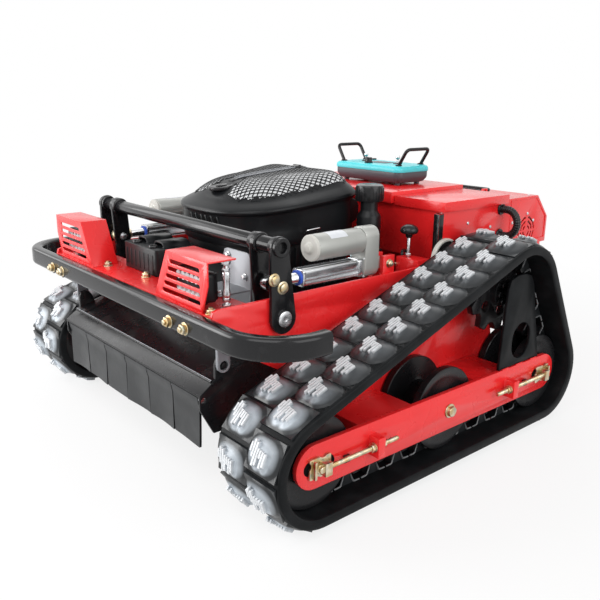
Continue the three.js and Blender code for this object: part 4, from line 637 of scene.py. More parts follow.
def body_of(node):
    return frame["nodes"][node]["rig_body"]


def refined(name, node, colour, bevel, segments=2, more=()):
    """A node's own shape with its flats merged and its edges rounded; more forms may join it."""
    piece = reworked(
        linked(name, frame["nodes"][node].data.copy()), without_doubles(0.01),
        lambda work: bmesh.ops.dissolve_limit(
            work, angle_limit=math.radians(1.5), verts=work.verts, edges=work.edges
        ),
    )
    softened(piece, bevel, segments)
    if more:
        extra = softened(tidied(new_object(name + "_more", merged(more))), bevel, segments)
        reworked(piece, lambda work: work.from_mesh(extra.data))
        bpy.data.objects.remove(extra)
    return dressed(piece, colour, body_of(node), (node,))


# Repeats by Geometry Nodes


def instance_tree(name, inputs, nodes, links):
    """A tree that puts copies on points, makes them real and coats them.

    Inputs are (name, kind) pairs, nodes are named (kind, settings, sockets) triples beside the five that every
    such tree has, and links are pairs of a node's name and its socket's.
    """
    if name in bpy.data.node_groups:
        return bpy.data.node_groups[name]
    tree = bpy.data.node_groups.new(name, "GeometryNodeTree")
    for label, kind in (("Geometry", "Geometry"), *inputs, ("Material", "Material")):
        tree.interface.new_socket(label, in_out="INPUT", socket_type="NodeSocket" + kind)
    tree.interface.new_socket("Geometry", in_out="OUTPUT", socket_type="NodeSocketGeometry")
    nodes = {
        "source": ("NodeGroupInput", {}, {}), "place": ("GeometryNodeInstanceOnPoints", {}, {}),
        "real": ("GeometryNodeRealizeInstances", {}, {}), "coat": ("GeometryNodeSetMaterial", {}, {}),
        "result": ("NodeGroupOutput", {}, {}), **nodes,
    }
    nodes = {label: equipped(tree, *parts) for label, parts in nodes.items()}
    for start, end in (
        ("source.Geometry", "place.Points"), ("place.Instances", "real.Geometry"), ("source.Material", "coat.Material"),
        *links, ("coat.Geometry", "result.Geometry"),
    ):
        (giver, given), (taker, taken) = start.split("."), end.split(".")
        tree.links.new(nodes[giver].outputs[given], nodes[taker].inputs[int(taken) if taken.isdigit() else taken])
    return tree


def repeat_tree():
    """Puts a pattern on every point, turned by the attribute turn."""
    return instance_tree("mower_repeat", (("Pattern", "Object"), ("Size", "Float")), {
        "pattern": ("GeometryNodeObjectInfo", {}, {}),
        "turn": ("GeometryNodeInputNamedAttribute", {"data_type": "FLOAT_VECTOR"}, {"Name": "turn"}),
        "rotation": ("FunctionNodeEulerToRotation", {}, {}),
    }, (
        ("source.Pattern", "pattern.Object"), ("pattern.Geometry", "place.Instance"),
        ("turn.Attribute", "rotation.Euler"), ("rotation.Rotation", "place.Rotation"),
        ("source.Size", "place.Scale"), ("real.Geometry", "coat.Geometry"),
    ))


def lattice_tree():
    """Lays cells on a surface: instances a cell on points, then drops each corner onto the surface below."""
    return instance_tree("mower_lattice", (("Cell", "Object"), ("Surface", "Object"), ("Drop", "Float")), {
        "cell": ("GeometryNodeObjectInfo", {}, {}), "surface": ("GeometryNodeObjectInfo", {}, {}),
        "here": ("GeometryNodeInputPosition", {}, {}), "split": ("ShaderNodeSeparateXYZ", {}, {}),
        "top": ("ShaderNodeCombineXYZ", {}, {}), "hit": ("ShaderNodeSeparateXYZ", {}, {}),
        "ray": ("GeometryNodeRaycast", {}, {"Ray Direction": (0, 0, -1), "Ray Length": 1.0}),
        "rise": ("ShaderNodeMath", {"operation": "ADD"}, {}), "goal": ("ShaderNodeCombineXYZ", {}, {}),
        "shift": ("GeometryNodeSetPosition", {}, {}),
    }, (
        ("source.Cell", "cell.Object"), ("source.Surface", "surface.Object"), ("cell.Geometry", "place.Instance"),
        ("here.Position", "split.Vector"), ("split.X", "top.X"), ("split.Y", "top.Y"), ("source.Drop", "top.Z"),
        ("surface.Geometry", "ray.Target Geometry"), ("top.Vector", "ray.Source Position"),
        ("ray.Hit Position", "hit.Vector"), ("hit.Z", "rise.0"), ("split.Z", "rise.1"),
        ("split.X", "goal.X"), ("split.Y", "goal.Y"), ("rise.Value", "goal.Z"),
        ("real.Geometry", "shift.Geometry"), ("goal.Vector", "shift.Position"), ("shift.Geometry", "coat.Geometry"),
    ))


def repeated(name, pattern, places, colour, body, angle=34.0):
    """Copies of a pattern object at (place, turn matrix) pairs, as one plain mesh."""
    piece = new_object(name, ([place for place, _ in places], []))
    turns = piece.data.attributes.new("turn", "FLOAT_VECTOR", "POINT")
    turns.data.foreach_set("vector", [c for _, turn in places for c in turn.to_euler()])
    modified(piece, "NODES", node_group=repeat_tree(), inputs={
        "Pattern": pattern, "Size": 1.0, "Material": finish(colour),
    })
    bpy.data.objects.remove(pattern)
    if "turn" in piece.data.attributes:
        piece.data.attributes.remove(piece.data.attributes["turn"])
    return dressed(piece, colour, body, angle=angle)


def pattern_object(form, bevel):
    return softened(tidied(new_object("pattern", form)), bevel)


def hex_bolt(flats, head, tip=0.0):
    """Hexagon head on a washer, with the end of its thread where tip is given."""
    radius = flats / 2 / math.cos(math.pi / 6)
    wide, base = radius * 1.22, 1.6
    top = base + head
    forms = [
        lathe("z", 0, 0, [(radius * 0.86, base), (radius, base + 0.6), (radius, top - 1.2), (radius * 0.88, top),
                          (0, top)], 6),
        lathe("z", 0, 0, [(0, 0), (wide, 0), (radius * 1.25, 0.5), (wide, base), (0, base)], 28),
    ]
    if tip:
        shank = flats * 0.30
        forms.append(lathe("z", 0, 0, [(shank, top - 1), (shank, top + tip), (0, top + tip)], 20))
    return merged(forms)


def pan_screw(radius, head):
    """Cross-head screw: a low dome with its recess."""
    return lathe("z", 0, 0, [(radius, 0), (radius, head * 0.35), (radius * 0.75, head * 0.85), (radius * 0.3, head),
                             (radius * 0.28, head * 0.55), (0, head * 0.5)], 20)


def fastener_row(name, form, places, colour, body):
    """Fasteners at (place, outward direction) pairs."""
    turned = [(place, Vector(out).to_track_quat("Z", "Y").to_matrix()) for place, out in places]
    repeated(name, pattern_object(form, 0.25), turned, colour, body)


# Belts


def belt_places(offset, step):
    """Points round the belt at a distance outside its inner face: (y, z, angle of the outward direction)."""
    pairs = list(zip(WHEELS, WHEELS[1:] + WHEELS[:1]))
    leave = []
    for (y, z, r), (far_y, far_z, far_r) in pairs:
        heading = math.atan2(far_z - z, far_y - y)
        leave.append(heading - math.pi / 2 - math.asin((far_r - r) / math.hypot(far_z - z, far_y - y)))
    pieces = []
    for i, ((y, z, r), (far_y, far_z, far_r)) in enumerate(pairs):
        turn = (leave[i] - leave[i - 1]) % (2 * math.pi)
        radius, far_radius = r + offset, far_r + offset
        out = Vector((math.cos(leave[i]), math.sin(leave[i])))
        start, end = Vector((y, z)) + out * radius, Vector((far_y, far_z)) + out * far_radius
        pieces.append(("arc", (y, z, radius), leave[i - 1], radius * turn))
        pieces.append(("line", (start, end), leave[i], (end - start).length))
    total = sum(piece[-1] for piece in pieces)

    def at(distance):
        rest = distance % total
        for kind, course, angle, length in pieces:
            if rest <= length and kind == "arc":
                y, z, radius = course
                angle += rest / radius
                return y + radius * math.cos(angle), z + radius * math.sin(angle), angle
            if rest <= length:
                spot = course[0].lerp(course[1], rest / length)
                return spot.x, spot.y, angle
            rest -= length
        return at(0)

    count = max(3, round(total / step))
    return total, [at(total * i / count) for i in range(count)], at


def make_band(side, label, sizes):
    """The rubber band: a rounded section swept round the wheels."""
    half = sizes.thickness / 2
    section = round_rectangle(-BELT_HALF, BELT_HALF, -half, half, 4.0, 3)
    rings = []
    for y, z, angle in belt_places(half, 11.0)[1]:
        c, s = math.cos(angle), math.sin(angle)
        rings.append([Vector((TRACK_X + x, y + out * c, z + out * s)) for x, out in section])
    made(f"belt_band_{label}", [swept(rings, closed=True)], "band", "chassis", (f"belt_{label}",), angle=40.0,
         side=side)


def marked(piece, **shares):
    """Gives a piece point attributes worked out from each corner's place in millimetres."""
    for name, share in shares.items():
        layer = piece.data.attributes.new(name, "FLOAT", "POINT")
        layer.data.foreach_set("value", [share(v.co / MM) for v in piece.data.vertices])
    return piece


# Start and end of each rib of a lug's comb along the belt, as shares of its reach
COMB_SHARES = ((0.0, 0.72), (-0.34, 1.0), (-0.95, 0.86), (-0.84, 0.46), (-0.22, 0.40), (-0.86, 0.36), (-0.70, 0.30))
LUG_ROOT = 5.0
LUG_GRID = (30, 24)


def bell(value, centre, spread):
    return math.exp(-(((value - centre) / spread) ** 2))


def knuckles(share_a, share_c):
    return sum(bell(share_c, centre, 0.16) for centre in (-0.18, 0.30)) * bell(share_a, -0.44, 0.34)


def comb(sizes):
    """The ribs on a lug: bars of uneven length side by side."""
    half_l, half_w, top = sizes.lug_length / 2, sizes.lug_width / 2, sizes.lug_height
    width, reach = half_w * 1.02 / sizes.ribs, half_l * 0.66
    half = width * 0.36
    ribs = []
    for i in range(sizes.ribs):
        low, high = COMB_SHARES[i % len(COMB_SHARES)]
        middle = (i + 0.5 - sizes.ribs / 2) * width - half_w * 0.06
        rings = []
        for grow, z in ((0.8, top - 7.0), (0.0, top - 0.6), (-0.3, top)):
            rings.append([
                Vector((middle + across * (half + grow * 0.2), end * reach + along * grow, z))
                for across, along, end in ((-1, -1, low), (1, -1, low), (1, 1, high), (-1, 1, high))
            ])
        ribs.append(swept(rings))
    return ribs


def lug_pattern(sizes):
    """A lug: a smooth mound that peaks under a comb of ribs and falls away in two knuckles."""
    half_l, half_w, top = sizes.lug_length / 2, sizes.lug_width / 2, sizes.lug_height
    cols, rows = LUG_GRID

    def height(a, c):
        share_a, share_c = a / half_l, c / half_w
        inside = max(0.0, 1 - abs(share_a) ** 2.4 - abs(share_c) ** 3.0) ** 0.6
        ridge = (top - 9.5) * bell(share_a, 0.16, 0.42) * bell(share_c, -0.1, 0.62)
        return min(top - 1.8, inside * (7.0 + ridge + 7.5 * knuckles(share_a, share_c)))

    # painted sheen: share of the sheen colour, growing with height and strongest on the knuckles
    def rubbed(spot):
        low = min(1.0, max(0.0, (spot.z - 2.0) / (top - 4.0)))
        return min(1.0, 0.42 * low + 0.75 * knuckles(spot.y / half_l, spot.x / half_w) * low)

    corners = []
    for j in range(rows + 1):
        for i in range(cols + 1):
            c, a = -half_w + 2 * half_w * i / cols, -half_l + 2 * half_l * j / rows
            corners.append(Vector((c, a, height(a, c))))
    faces, border, start = grid(cols, rows), grid_border(cols, rows), len(corners)
    corners += [Vector((corners[k].x, corners[k].y, -LUG_ROOT)) for k in border]
    for i, k in enumerate(border):
        j = (i + 1) % len(border)
        faces.append((k, start + i, start + j, border[j]))
    faces.append(tuple(range(start, start + len(border))))
    piece = tidied(new_object("lug_pattern", merged([(corners, faces), *comb(sizes)])))
    return marked(piece, tread=lambda spot: float(spot.z > top - 1.0), rubbed=rubbed)


def tooth_pattern():
    """A guide tooth that narrows to its tip, with a raised lip down its flanks on both faces; the lips are painted a
    paler grey as a painted glint.
    """
    levels = ((-6.0, 11.0, 17.0), (2.0, 11.0, 16.0), (22.0, 9.4, 7.6), (26.5, 8.0, 5.0))
    forms = [swept([
        [Vector((x * across, y * along, z)) for x, y in ((-1, -1), (1, -1), (1, 1), (-1, 1))]
        for z, across, along in levels
    ])]
    lip = ((11.2, 33.0, 0.8), (11.2, 19.0, 1.4), (11.2, 16.4, 3.0), (9.8, 8.4, 21.0))
    for face in (-1, 1):
        for end in (-1, 1):
            forms.append(tube([(face * x, end * y, z) for x, y, z in lip], 2.1, 6))
    piece = tidied(new_object("tooth_pattern", merged(forms)))
    # painted highlight: a quarter of the pale top colour on the lips paints a glint on them
    return marked(piece, tread=lambda spot: 0.25 * float(abs(spot.x) > 11.6), rubbed=lambda spot: 0.0)


def lug_places(sizes, shift, lanes, inward=False):
    """Place and turn of each lug, or of each guide tooth inside the belt, in lanes across it."""
    half = sizes.thickness / 2
    total, _, at = belt_places(half, 100.0)
    count = round(total / sizes.pitch)
    pitch = total / count
    places = []
    for i in range(count):
        y, z, angle = at((i + shift + sizes.phase) * pitch)
        up = Vector((0, math.cos(angle), math.sin(angle))) * (-1 if inward else 1)
        across = Vector((1, 0, 0))
        turn = Matrix((across, up.cross(across), up)).transposed()
        places += [(Vector((x, y, z)) + up * half, turn) for x in lanes]
    return places


class MOWER_OT_belts(bpy.types.Operator):
    """Builds the two rubber belts with their lugs and guide teeth"""

    bl_idname = "mower.belts"
    bl_label = "Belts"

    def execute(self, context):
        sizes = context.scene.mower_belts
        for side, label in SIDES:
            make_band(side, label, sizes)
            for column, name, shift in ((1, "outer", 0.0), (-1, "inner", 0.5)):
                places = lug_places(sizes, shift, [side * (TRACK_X + column * 41.0)])
                repeated(f"belt_lugs_{name}_{label}", lug_pattern(sizes), places, "rubber", "chassis", 38.0)
            lanes = [side * TRACK_X + lane for lane in (-21.0, 21.0)]
            places = lug_places(sizes, 0.25, lanes, inward=True)
            repeated(f"belt_teeth_{label}", tooth_pattern(), places, "rubber", "chassis", 30.0)
        return {"FINISHED"}


class MOWER_OT_rollers(bpy.types.Operator):
    """Turns the six rollers and refines the two sprockets"""

    bl_idname = "mower.rollers"
    bl_label = "Rollers and sprockets"

    def execute(self, context):
        for side, label in SIDES:
            for row in ("front", "middle", "rear"):
                self.roller(row, label)
            node = f"sprocket_{label}"
            refined(f"sprocket_plate_{label}", node, "deck", 1.2)
            _, (y, z, _) = WHEELS[1], WHEELS[2]
            spots = [(side * 475.5, *place) for place in arc(y, z, 22, 0, 5 * math.pi / 3, 5)]
            fastener_row(f"sprocket_bolts_{label}", hex_bolt(13, 7), [(spot, (side, 0, 0)) for spot in spots],
                         "knob", body_of(node))
        return {"FINISHED"}

    def roller(self, row, label):
        """A roller with a rim at each end, a waist between them and a bore."""
        node = f"{row}_roller_{label}"
        low, high = box_mm(node)
        middle, sides = (low + high) / 2, 56
        half, rim = (high.x - low.x) / 2, (high.z - low.z) / 2
        end = [
            (12.0, -half), (26.0, -half), (30.0, -half + 3), (rim - 22, -half + 5), (rim - 14, -half),
            (rim - 1.5, -half), (rim, -half + 1.5), (rim, -35.5), (rim - 1.5, -34.0), (46.0, -31.0), (40.0, -28.0),
        ]
        profile = [(r, middle.x + h) for r, h in end + [(r, -h) for r, h in reversed(end)]]
        corners, faces = lathe("x", middle.y, middle.z, profile, sides)
        last = len(corners) - sides
        bore = [(i, last + i, last + (i + 1) % sides, (i + 1) % sides) for i in range(sides)]
        made(f"roller_{row}_{label}", [(corners, faces[:-2] + bore)], "deck", body_of(node), (node,), angle=40.0)


class MOWER_OT_frames(bpy.types.Operator):
    """Refines the track frames and builds the plated tension gear"""

    bl_idname = "mower.frames"
    bl_label = "Track frames"

    def execute(self, context):
        for side, label in SIDES:
            refined(f"track_bars_{label}", f"track_frame_{label}", "red", 1.3)
            refined(f"guard_plate_{label}", f"sprocket_guard_{label}", "band", 1.4)
            welds = [
                tube([(side * 513.4, y0, 169.6), (side * 513.4, y1, 169.6)], 1.8, 8)
                for y0, y1 in ((136, 160), (190, 214), (246, 270))
            ]
            made(f"guard_welds_{label}", welds, "red", "chassis")
            for row, (y, _, _), towards in (("front", WHEELS[0], 1), ("rear", WHEELS[1], -1)):
                self.tension(side, label, row, y, towards)
                # painted shade: a thin near-black plate on the bar's face stands for the shade seen through the
                # tensioner's slot
                slot = plate("x", round_rectangle(y - 34, y + 38, 112, 140, 14), 514.6, 515.35)
                made(f"tension_slot_{row}_{label}", [slot], "pit", "chassis", side=side)
                peg = y + towards * 66
                peg = block(BAR_FACE, BAR_FACE + 6, peg - 7, peg + 7, 112, AXLE_Z)
                made(f"bar_peg_{row}_{label}", [peg], "black", "chassis", bevel=0.8, side=side)
            face = 525.3
            forms = [
                lathe("x", -46, AXLE_Z, [(0, 515.2), (15, 515.2), (15.4, 516), (15, 518), (0, 518)], 32),
                lathe("x", -46, AXLE_Z, [(0, 517.8), (11.5, 517.8), (11.8, 519), (10.4, face), (4.2, face + 0.6),
                                         (0, face + 0.6)], 32),
            ]
            made(f"axle_end_{label}", forms, "zinc", "chassis", bevel=0.3, side=side)
        return {"FINISHED"}

    def tension(self, side, label, row, y, towards):
        """Notched washer, clamp, nut, axle and stud of one tensioner, then the nuts that hold the stud."""
        node = f"{row}_tensioner_{label}"
        x = BAR_FACE + 0.4
        lobes = []
        for i in range(48):
            angle = 2 * math.pi * i / 48
            notch = 1.0 if (i // 3) % 4 != 3 else 0.86
            u = max(-25.0, min(25.0, 31 * math.cos(angle)))
            v = max(-19.5, min(19.5, 31 * math.sin(angle)))
            lobes.append((y + u * notch, AXLE_Z + v * notch))
        clamp, jaw, nut = y + towards * 4, y - towards * 17, y - towards * 5
        forms = [
            plate("x", lobes, x, x + 5.5),
            block(x + 5, x + 22.6, clamp - 6.5, clamp + 9.5, AXLE_Z - 12.5, AXLE_Z + 12.5),
            block(x + 5, x + 14, jaw - 2.5, jaw + 2.5, AXLE_Z - 17, AXLE_Z + 17),
            hex_nut("x", nut, AXLE_Z, 17, x + 5, x + 13),
            lathe("x", nut, AXLE_Z, [(0, x + 5), (6.2, x + 5), (6.2, x + 17.5), (5.2, x + 18.5), (0, x + 18.5)], 24),
            drum("x", y, AXLE_Z, 10, 388, x + 1, 40),
            threaded("y", STUD_X, AXLE_Z, 5.0, *sorted((y + towards * 5, y + towards * 190))),
        ]
        made(f"tension_gear_{row}_{label}", forms, "zinc", body_of(node), (node,), bevel=0.35, side=side)
        at = y + towards * 135
        nuts = [drum("y", STUD_X, AXLE_Z, 9.5, at + near, at + far) for near, far in ((-10.9, -9.3), (9.3, 10.9))]
        for near, far in ((-18.9, -10.9), (10.9, 18.3)):
            nuts.append(hex_nut("y", STUD_X, AXLE_Z, 15, at + near, at + far))
        made(f"tension_nuts_{row}_{label}", nuts, "zinc", "chassis", bevel=0.35, side=side)


class MOWER_OT_hull(bpy.types.Operator):
    """Refines the hull and adds its brackets and gussets"""

    bl_idname = "mower.hull"
    bl_label = "Hull"

    def execute(self, context):
        refined("hull_body", "hull", "red", 1.2)
        forms = on_both([
            plate("x", [(-513, 336), (-513, 374), (-500, 374), (-478, 352), (-478, 336)], 266, 280),
            plate("x", [(-441, 380), (-441, 388.5), (-452, 380)], 336, 344.5),
        ])
        forms += [block(x - 2, x + 2, -412, -411.6, 340, 372) for x in (-300, -120, 120, 300)]
        made("hull_gussets", forms, "red", "chassis", bevel=0.8)
        return {"FINISHED"}


class MOWER_OT_bumper(bpy.types.Operator):
    """Sweeps the bumper tube and adds its bolts"""

    bl_idname = "mower.bumper"
    bl_label = "Bumper"

    def execute(self, context):
        low, high = box_mm("bumper")
        depth, turn, steps = 28.0, 120.0, 20
        radius, half = turn - depth / 2, high.x - depth / 2
        centre_y = low.y + turn
        path = [(-half, high.y, -1, 0), (-half, centre_y, -1, 0)]
        for centre_x, start, first in ((-half + radius, math.pi, 1), (half - radius, 1.5 * math.pi, 0)):
            for i in range(first, steps + 1):
                angle = start + (math.pi / 2) * i / steps
                c, s = math.cos(angle), math.sin(angle)
                path.append((centre_x + radius * c, centre_y + radius * s, c, s))
        path.append((half, high.y, 1, 0))
        section = round_rectangle(-depth / 2, depth / 2, low.z, high.z, 8.5, 6)
        rings = [[Vector((x + n * nx, y + n * ny, z)) for n, z in section] for x, y, nx, ny in path]
        made("bumper_tube", [swept(rings)], "black", "chassis", ("bumper",), angle=28.0)
        middle = (low.z + high.z) / 2 - 5
        spots = [((x, low.y, middle), (0, -1, 0)) for x in BOLT_X]
        fastener_row("bumper_bolts", hex_bolt(17, 8, 3.5), spots, "zinc", "chassis")
        collars = [drum("y", x, middle, 14.5, low.y - 0.2, low.y + 0.4, 32) for x in BOLT_X]
        made("bumper_collars", collars, "knob", "chassis")
        return {"FINISHED"}


class MOWER_OT_guards(bpy.types.Operator):
    """Refines the lamp guards and builds the lamps, the stay and the shelf's bolts"""

    bl_idname = "mower.guards"
    bl_label = "Lamp guards"

    def execute(self, context):
        for _, label in SIDES:
            refined(f"guard_sheet_{label}", f"lamp_guard_{label}", "red", 0.7)
            self.lamp(label)
        self.stay()
        spots = [((x, y, 376.0), (0, 0, 1)) for x, y in ((-136, -478), (10, -460), (322, -500))]
        fastener_row("shelf_bolts", hex_bolt(15, 7, 3), spots, "zinc", "chassis")
        return {"FINISHED"}

    def lamp(self, label):
        """Finned body on a foot, with two rows of lenses."""
        low, high = box_mm(f"work_lamp_{label}")
        middle, first = (low.x + high.x) / 2, low.x + 3
        body = [
            plate("y", round_rectangle(low.x, high.x, low.z + 10, high.z, 9, 6), low.y + 6, high.y - 8),
            plate("y", round_rectangle(low.x + 1.5, high.x - 1.5, low.z + 11.5, high.z - 1.5, 8, 6),
                  low.y + 2, low.y + 7),
        ]
        for i in range(int((high.x - 3 - first) // 9)):
            x = first + 6 + i * 9
            body.append(block(x, x + 3, high.y - 9, high.y, low.z + 14, high.z - 4))
        body.append(block(middle - 18, middle + 18, low.y + 8, high.y - 6, low.z, low.z + 12))
        made(f"lamp_body_{label}", body, "plastic", "chassis", (f"work_lamp_{label}",), bevel=0.8)
        lens = ((0, 2.4), (8.2, 2.4), (8.2, 0.8), (6.2, 1.4), (0, 0.4))
        lenses = [
            lathe("y", low.x + 12 + i * (high.x - low.x - 24) / 5, z, [(r, low.y + h) for r, h in lens], 20)
            for i in range(6) for z in (low.z + 26, high.z - 16)
        ]
        made(f"lamp_lenses_{label}", lenses, "lens", "chassis")

    def stay(self):
        """Turnbuckle: a threaded bar with a body in its middle, lock nuts and a washer at each end."""
        low, high = box_mm("guard_stay")
        x, y, middle = (low + high) / 2
        body = ((0, -24), (6.6, -24), (8, -18), (6.2, -8), (6.2, 8), (8, 18), (6.6, 24), (0, 24))
        forms = [
            threaded("z", x, y, 4.6, low.z + 6, high.z - 6, 1.8),
            lathe("z", x, y, [(r, middle + h) for r, h in body], 24), drum("z", x, y, 11, low.z, low.z + 2.5),
            hex_nut("z", x, y, 15, low.z + 2.5, low.z + 10), hex_nut("z", x, y, 13, middle - 32, middle - 24),
            hex_nut("z", x, y, 13, middle + 24, middle + 31), hex_nut("z", x, y, 15, high.z - 9, high.z - 2),
            drum("z", x, y, 10.5, high.z - 2, high.z),
        ]
        made("stay_turnbuckle", forms, "steel", "chassis", ("guard_stay",), bevel=0.3)


class MOWER_OT_lift(bpy.types.Operator):
    """Builds the lift frame's tube, arms, cranks and pivots, and the deck links"""

    bl_idname = "mower.lift"
    bl_label = "Lift frame"

    def execute(self, context):
        arm = [
            plate("x", two_circles(-359, 346, 29, *CROSS_TUBE, 20.2), 347, 355),
            plate("x", two_circles(-359, 338, 20.5, *CROSS_TUBE, 20), 285, 293),
            plate("x", two_circles(*LIFT_PIVOT, 15, *CRANK_PIN, 13, 16), 316, 324),
            lathe("x", *CROSS_TUBE, [(15, 277), (20, 278), (20, 299), (17.5, 301), (15, 301)], 40),
            lathe("x", *CROSS_TUBE, [(15, 339), (18, 339), (18.4, 340), (18.4, 362), (17.2, 363), (11, 363),
                                     (10.4, 362), (10, 352), (0, 351)], 40),
            drum("x", *LIFT_PIVOT, 10, 285, 350, 32), drum("x", *ROD_PIN, 6, 286, 350, 24),
            drum("x", *CRANK_PIN, 6, 305.5, 322, 24),
        ]
        forms = [drum("x", *CROSS_TUBE, 15, -346, 346, 48), *on_both(arm)]
        made("lift_arms", forms, "black", "lift", ("lift_frame",), bevel=0.9)
        pins = [
            lathe("x", *LIFT_PIVOT, [(0, 354.6), (15, 354.6), (15.6, 355.6), (15.6, 359.4), (14.6, 360), (4, 360),
                                     (3.4, 359.4), (0, 359.4)], 36),
            drum("x", *ROD_PIN, 9.5, 283, 285.2), hex_nut("x", *ROD_PIN, 13, 277.5, 283),
            drum("x", *CRANK_PIN, 10, 324, 325.6), hex_nut("x", *CRANK_PIN, 13, 325.6, 331.5),
        ]
        made("lift_pins", on_both(pins), "steel", "lift", bevel=0.3)
        heads = [
            lathe("x", y, z, [(0, 354.6), (12.4, 354.6), (12.8, 355.4), (12.4, 356.6), (9, 356.8), (9, 361.4),
                              (7.6, 362.2), (0, 362.2)], 30)
            for y, z in (ROD_PIN, (-383, 426))
        ]
        made("lift_bolt_heads", on_both(heads), "zinc", "lift", bevel=0.3)
        for _, label in SIDES:
            refined(f"link_plate_{label}", f"deck_link_{label}", "sheet", 0.6)
        return {"FINISHED"}


class MOWER_OT_actuators(bpy.types.Operator):
    """Builds the two electric actuators with their motors and rods"""

    bl_idname = "mower.actuators"
    bl_label = "Actuators"

    def execute(self, context):
        for side, label in SIDES:
            self.housing(side, label)
            self.motor(side, label, -262.0 if side > 0 else -260.0)
            self.rod(side, label)
        return {"FINISHED"}

    def housing(self, side, label):
        """Grooved tube with its end plates, the gearbox behind it, and its fixings."""
        node, x, z = f"actuator_housing_{label}", ACTUATOR_X, ROD_PIN[1]
        corner = [(17, 9), (17, 14), (14, 17), (9, 17), (8, 15), (3, 15), (2, 17)]
        section = []
        for u, v in ((1, 1), (-1, 1), (-1, -1), (1, -1)):
            points = corner if u * v > 0 else [(b, a) for a, b in reversed(corner)]
            section += [(x + u * a, z + v * b) for a, b in points]
        forms = [
            plate("y", section, -288, -124),
            plate("y", round_rectangle(x - 17, x + 17, z - 17, z + 17, 5, 4), -290, -284),
            plate("y", round_rectangle(x - 18, x + 18, z - 18, z + 18, 5, 4), -140, -126),
        ]
        made(f"actuator_tube_{label}", forms, "alloy", body_of(node), (node,), bevel=0.4, side=side)
        case = [
            plate("y", round_rectangle(x - 23, x + 23, 384, 492, 21, 10), -126, -86),
            plate("y", round_rectangle(x - 20, x + 20, 387, 489, 18, 10), -88, -83.5),
            plate("x", round_rectangle(-88, -43, z - 11, z + 11, 11), x - 11, x + 11),
        ]
        made(f"actuator_gearbox_{label}", case, "cast", body_of(node), bevel=1.6, segments=3, side=side)
        bolts = [((side * 335.2, -54, z), (side, 0, 0)), ((side * 288.8, -54, z), (-side, 0, 0))]
        fastener_row(f"actuator_bolts_{label}", hex_bolt(13, 6, 3), bolts, "zinc", "chassis")
        screws = [
            ((side * (x + dx), -126.6, z + dz), (0, -1, 0)) for dx in (-19.6, 19.6) for dz in (-19.0, 19.0)
        ]
        fastener_row(f"gearbox_screws_{label}", pan_screw(2.6, 1.6), screws, "steel", body_of(node))

    def motor(self, side, label, front):
        """Can, pale end cap with its boss, and a thin blank label that lies round the can."""
        node, x = f"actuator_motor_{label}", ACTUATOR_X
        body = body_of(f"actuator_housing_{label}")
        can = [(0, front + 6), (25.6, front + 6), (27, front + 8), (27, -130), (26, -127), (0, -126.4)]
        made(f"actuator_can_{label}", [lathe("y", x, MOTOR_Z, can, 56)], "cast", body, (node,), bevel=0.4, side=side)
        cap = ((0, 8), (26.2, 8), (26.6, 2), (25, 0), (13, 0.4), (12, -1), (10, -1.6), (9.2, -7), (7.5, -8), (0, -8))
        cap = lathe("y", x, MOTOR_Z, [(r, front + h) for r, h in cap], 48)
        made(f"actuator_cap_{label}", [cap], "cap", body, bevel=0.3, side=side)
        steps = 8
        rows = arc(x, MOTOR_Z, 27.25, math.radians(40), math.radians(62), steps)
        faces = [(2 * i, 2 * i + 1, 2 * i + 3, 2 * i + 2) for i in range(steps)]
        form = [Vector((u, y, v)) for u, v in rows for y in (-222, -176)], faces
        piece = new_object(f"actuator_label_{label}", on_side(side, [form])[0])
        dressed(thickened(piece, 0.2, 0.0), "label", body)

    def rod(self, side, label):
        """Chromed rod with its seal, end collar and the eye that takes the pin."""
        node, x, z = f"actuator_rod_{label}", ACTUATOR_X, ROD_PIN[1]
        seal = [(11.6, -290.2), (15.5, -290.2), (15.5, -293.6), (14.4, -294.6), (11.6, -294.6), (11.6, -290.2)]
        made(f"actuator_seal_{label}", [lathe("y", x, z, seal, 36)], "blue", body_of(f"actuator_housing_{label}"),
             side=side)
        made(f"actuator_rod_{label}", [drum("y", x, z, 11, -350, -171, 48)], "chrome", body_of(node), (node,),
             bevel=0.3, side=side)
        clevis = [
            lathe("y", x, z, [(0, -352), (13.5, -352), (14.2, -350), (14.2, -334), (12.6, -331), (0, -331)], 36),
            lathe("x", *ROD_PIN, [(8.6, 303), (14.6, 303), (15, 304), (15, 320), (14.6, 321), (8.6, 321),
                                  (8.6, 303)], 40),
        ]
        made(f"rod_clevis_{label}", clevis, "alloy" if side > 0 else "zinc", body_of(node), side=side)


# Engine

PLAN = {"half": 176.0, "front": -316.0, "rear": 40.0, "nose": 168.0, "tail": 70.0}
CLIMB = 30.0

# Inset, height and climb to the back of each ring of the cover's wall, then inset and height over the rim
WALL_RINGS = (
    (8.0, 433.0, 0.0), (6.6, 435.0, 0.0), (5.4, 448.0, 2.0), (4.2, 462.0, 6.0), (3.8, 474.0, 12.0), (4.2, 486.0, 20.0),
    (4.4, 495.0, 27.0), (3.8, 498.4, 29.0), (1.2, 500.0, 30.0), (0.2, 502.6, 30.0), (0.0, 506.0, 30.0),
)
TOP_RINGS = (
    (0.8, 509.0), (4.0, 511.4), (12.0, 515.4), (22.0, 519.8), (31.0, 524.0), (36.0, 528.4), (44.0, 534.6), (54.0, 541.0),
    (66.0, 547.0), (80.0, 552.0), (94.0, 555.6), (108.0, 558.0), (120.0, 559.4),
)
SCOOP = {"depth": 10.0, "back": 0.30, "reach": 0.13, "height": 470.0, "spread": 17.0}
SHOULDER = 13.0


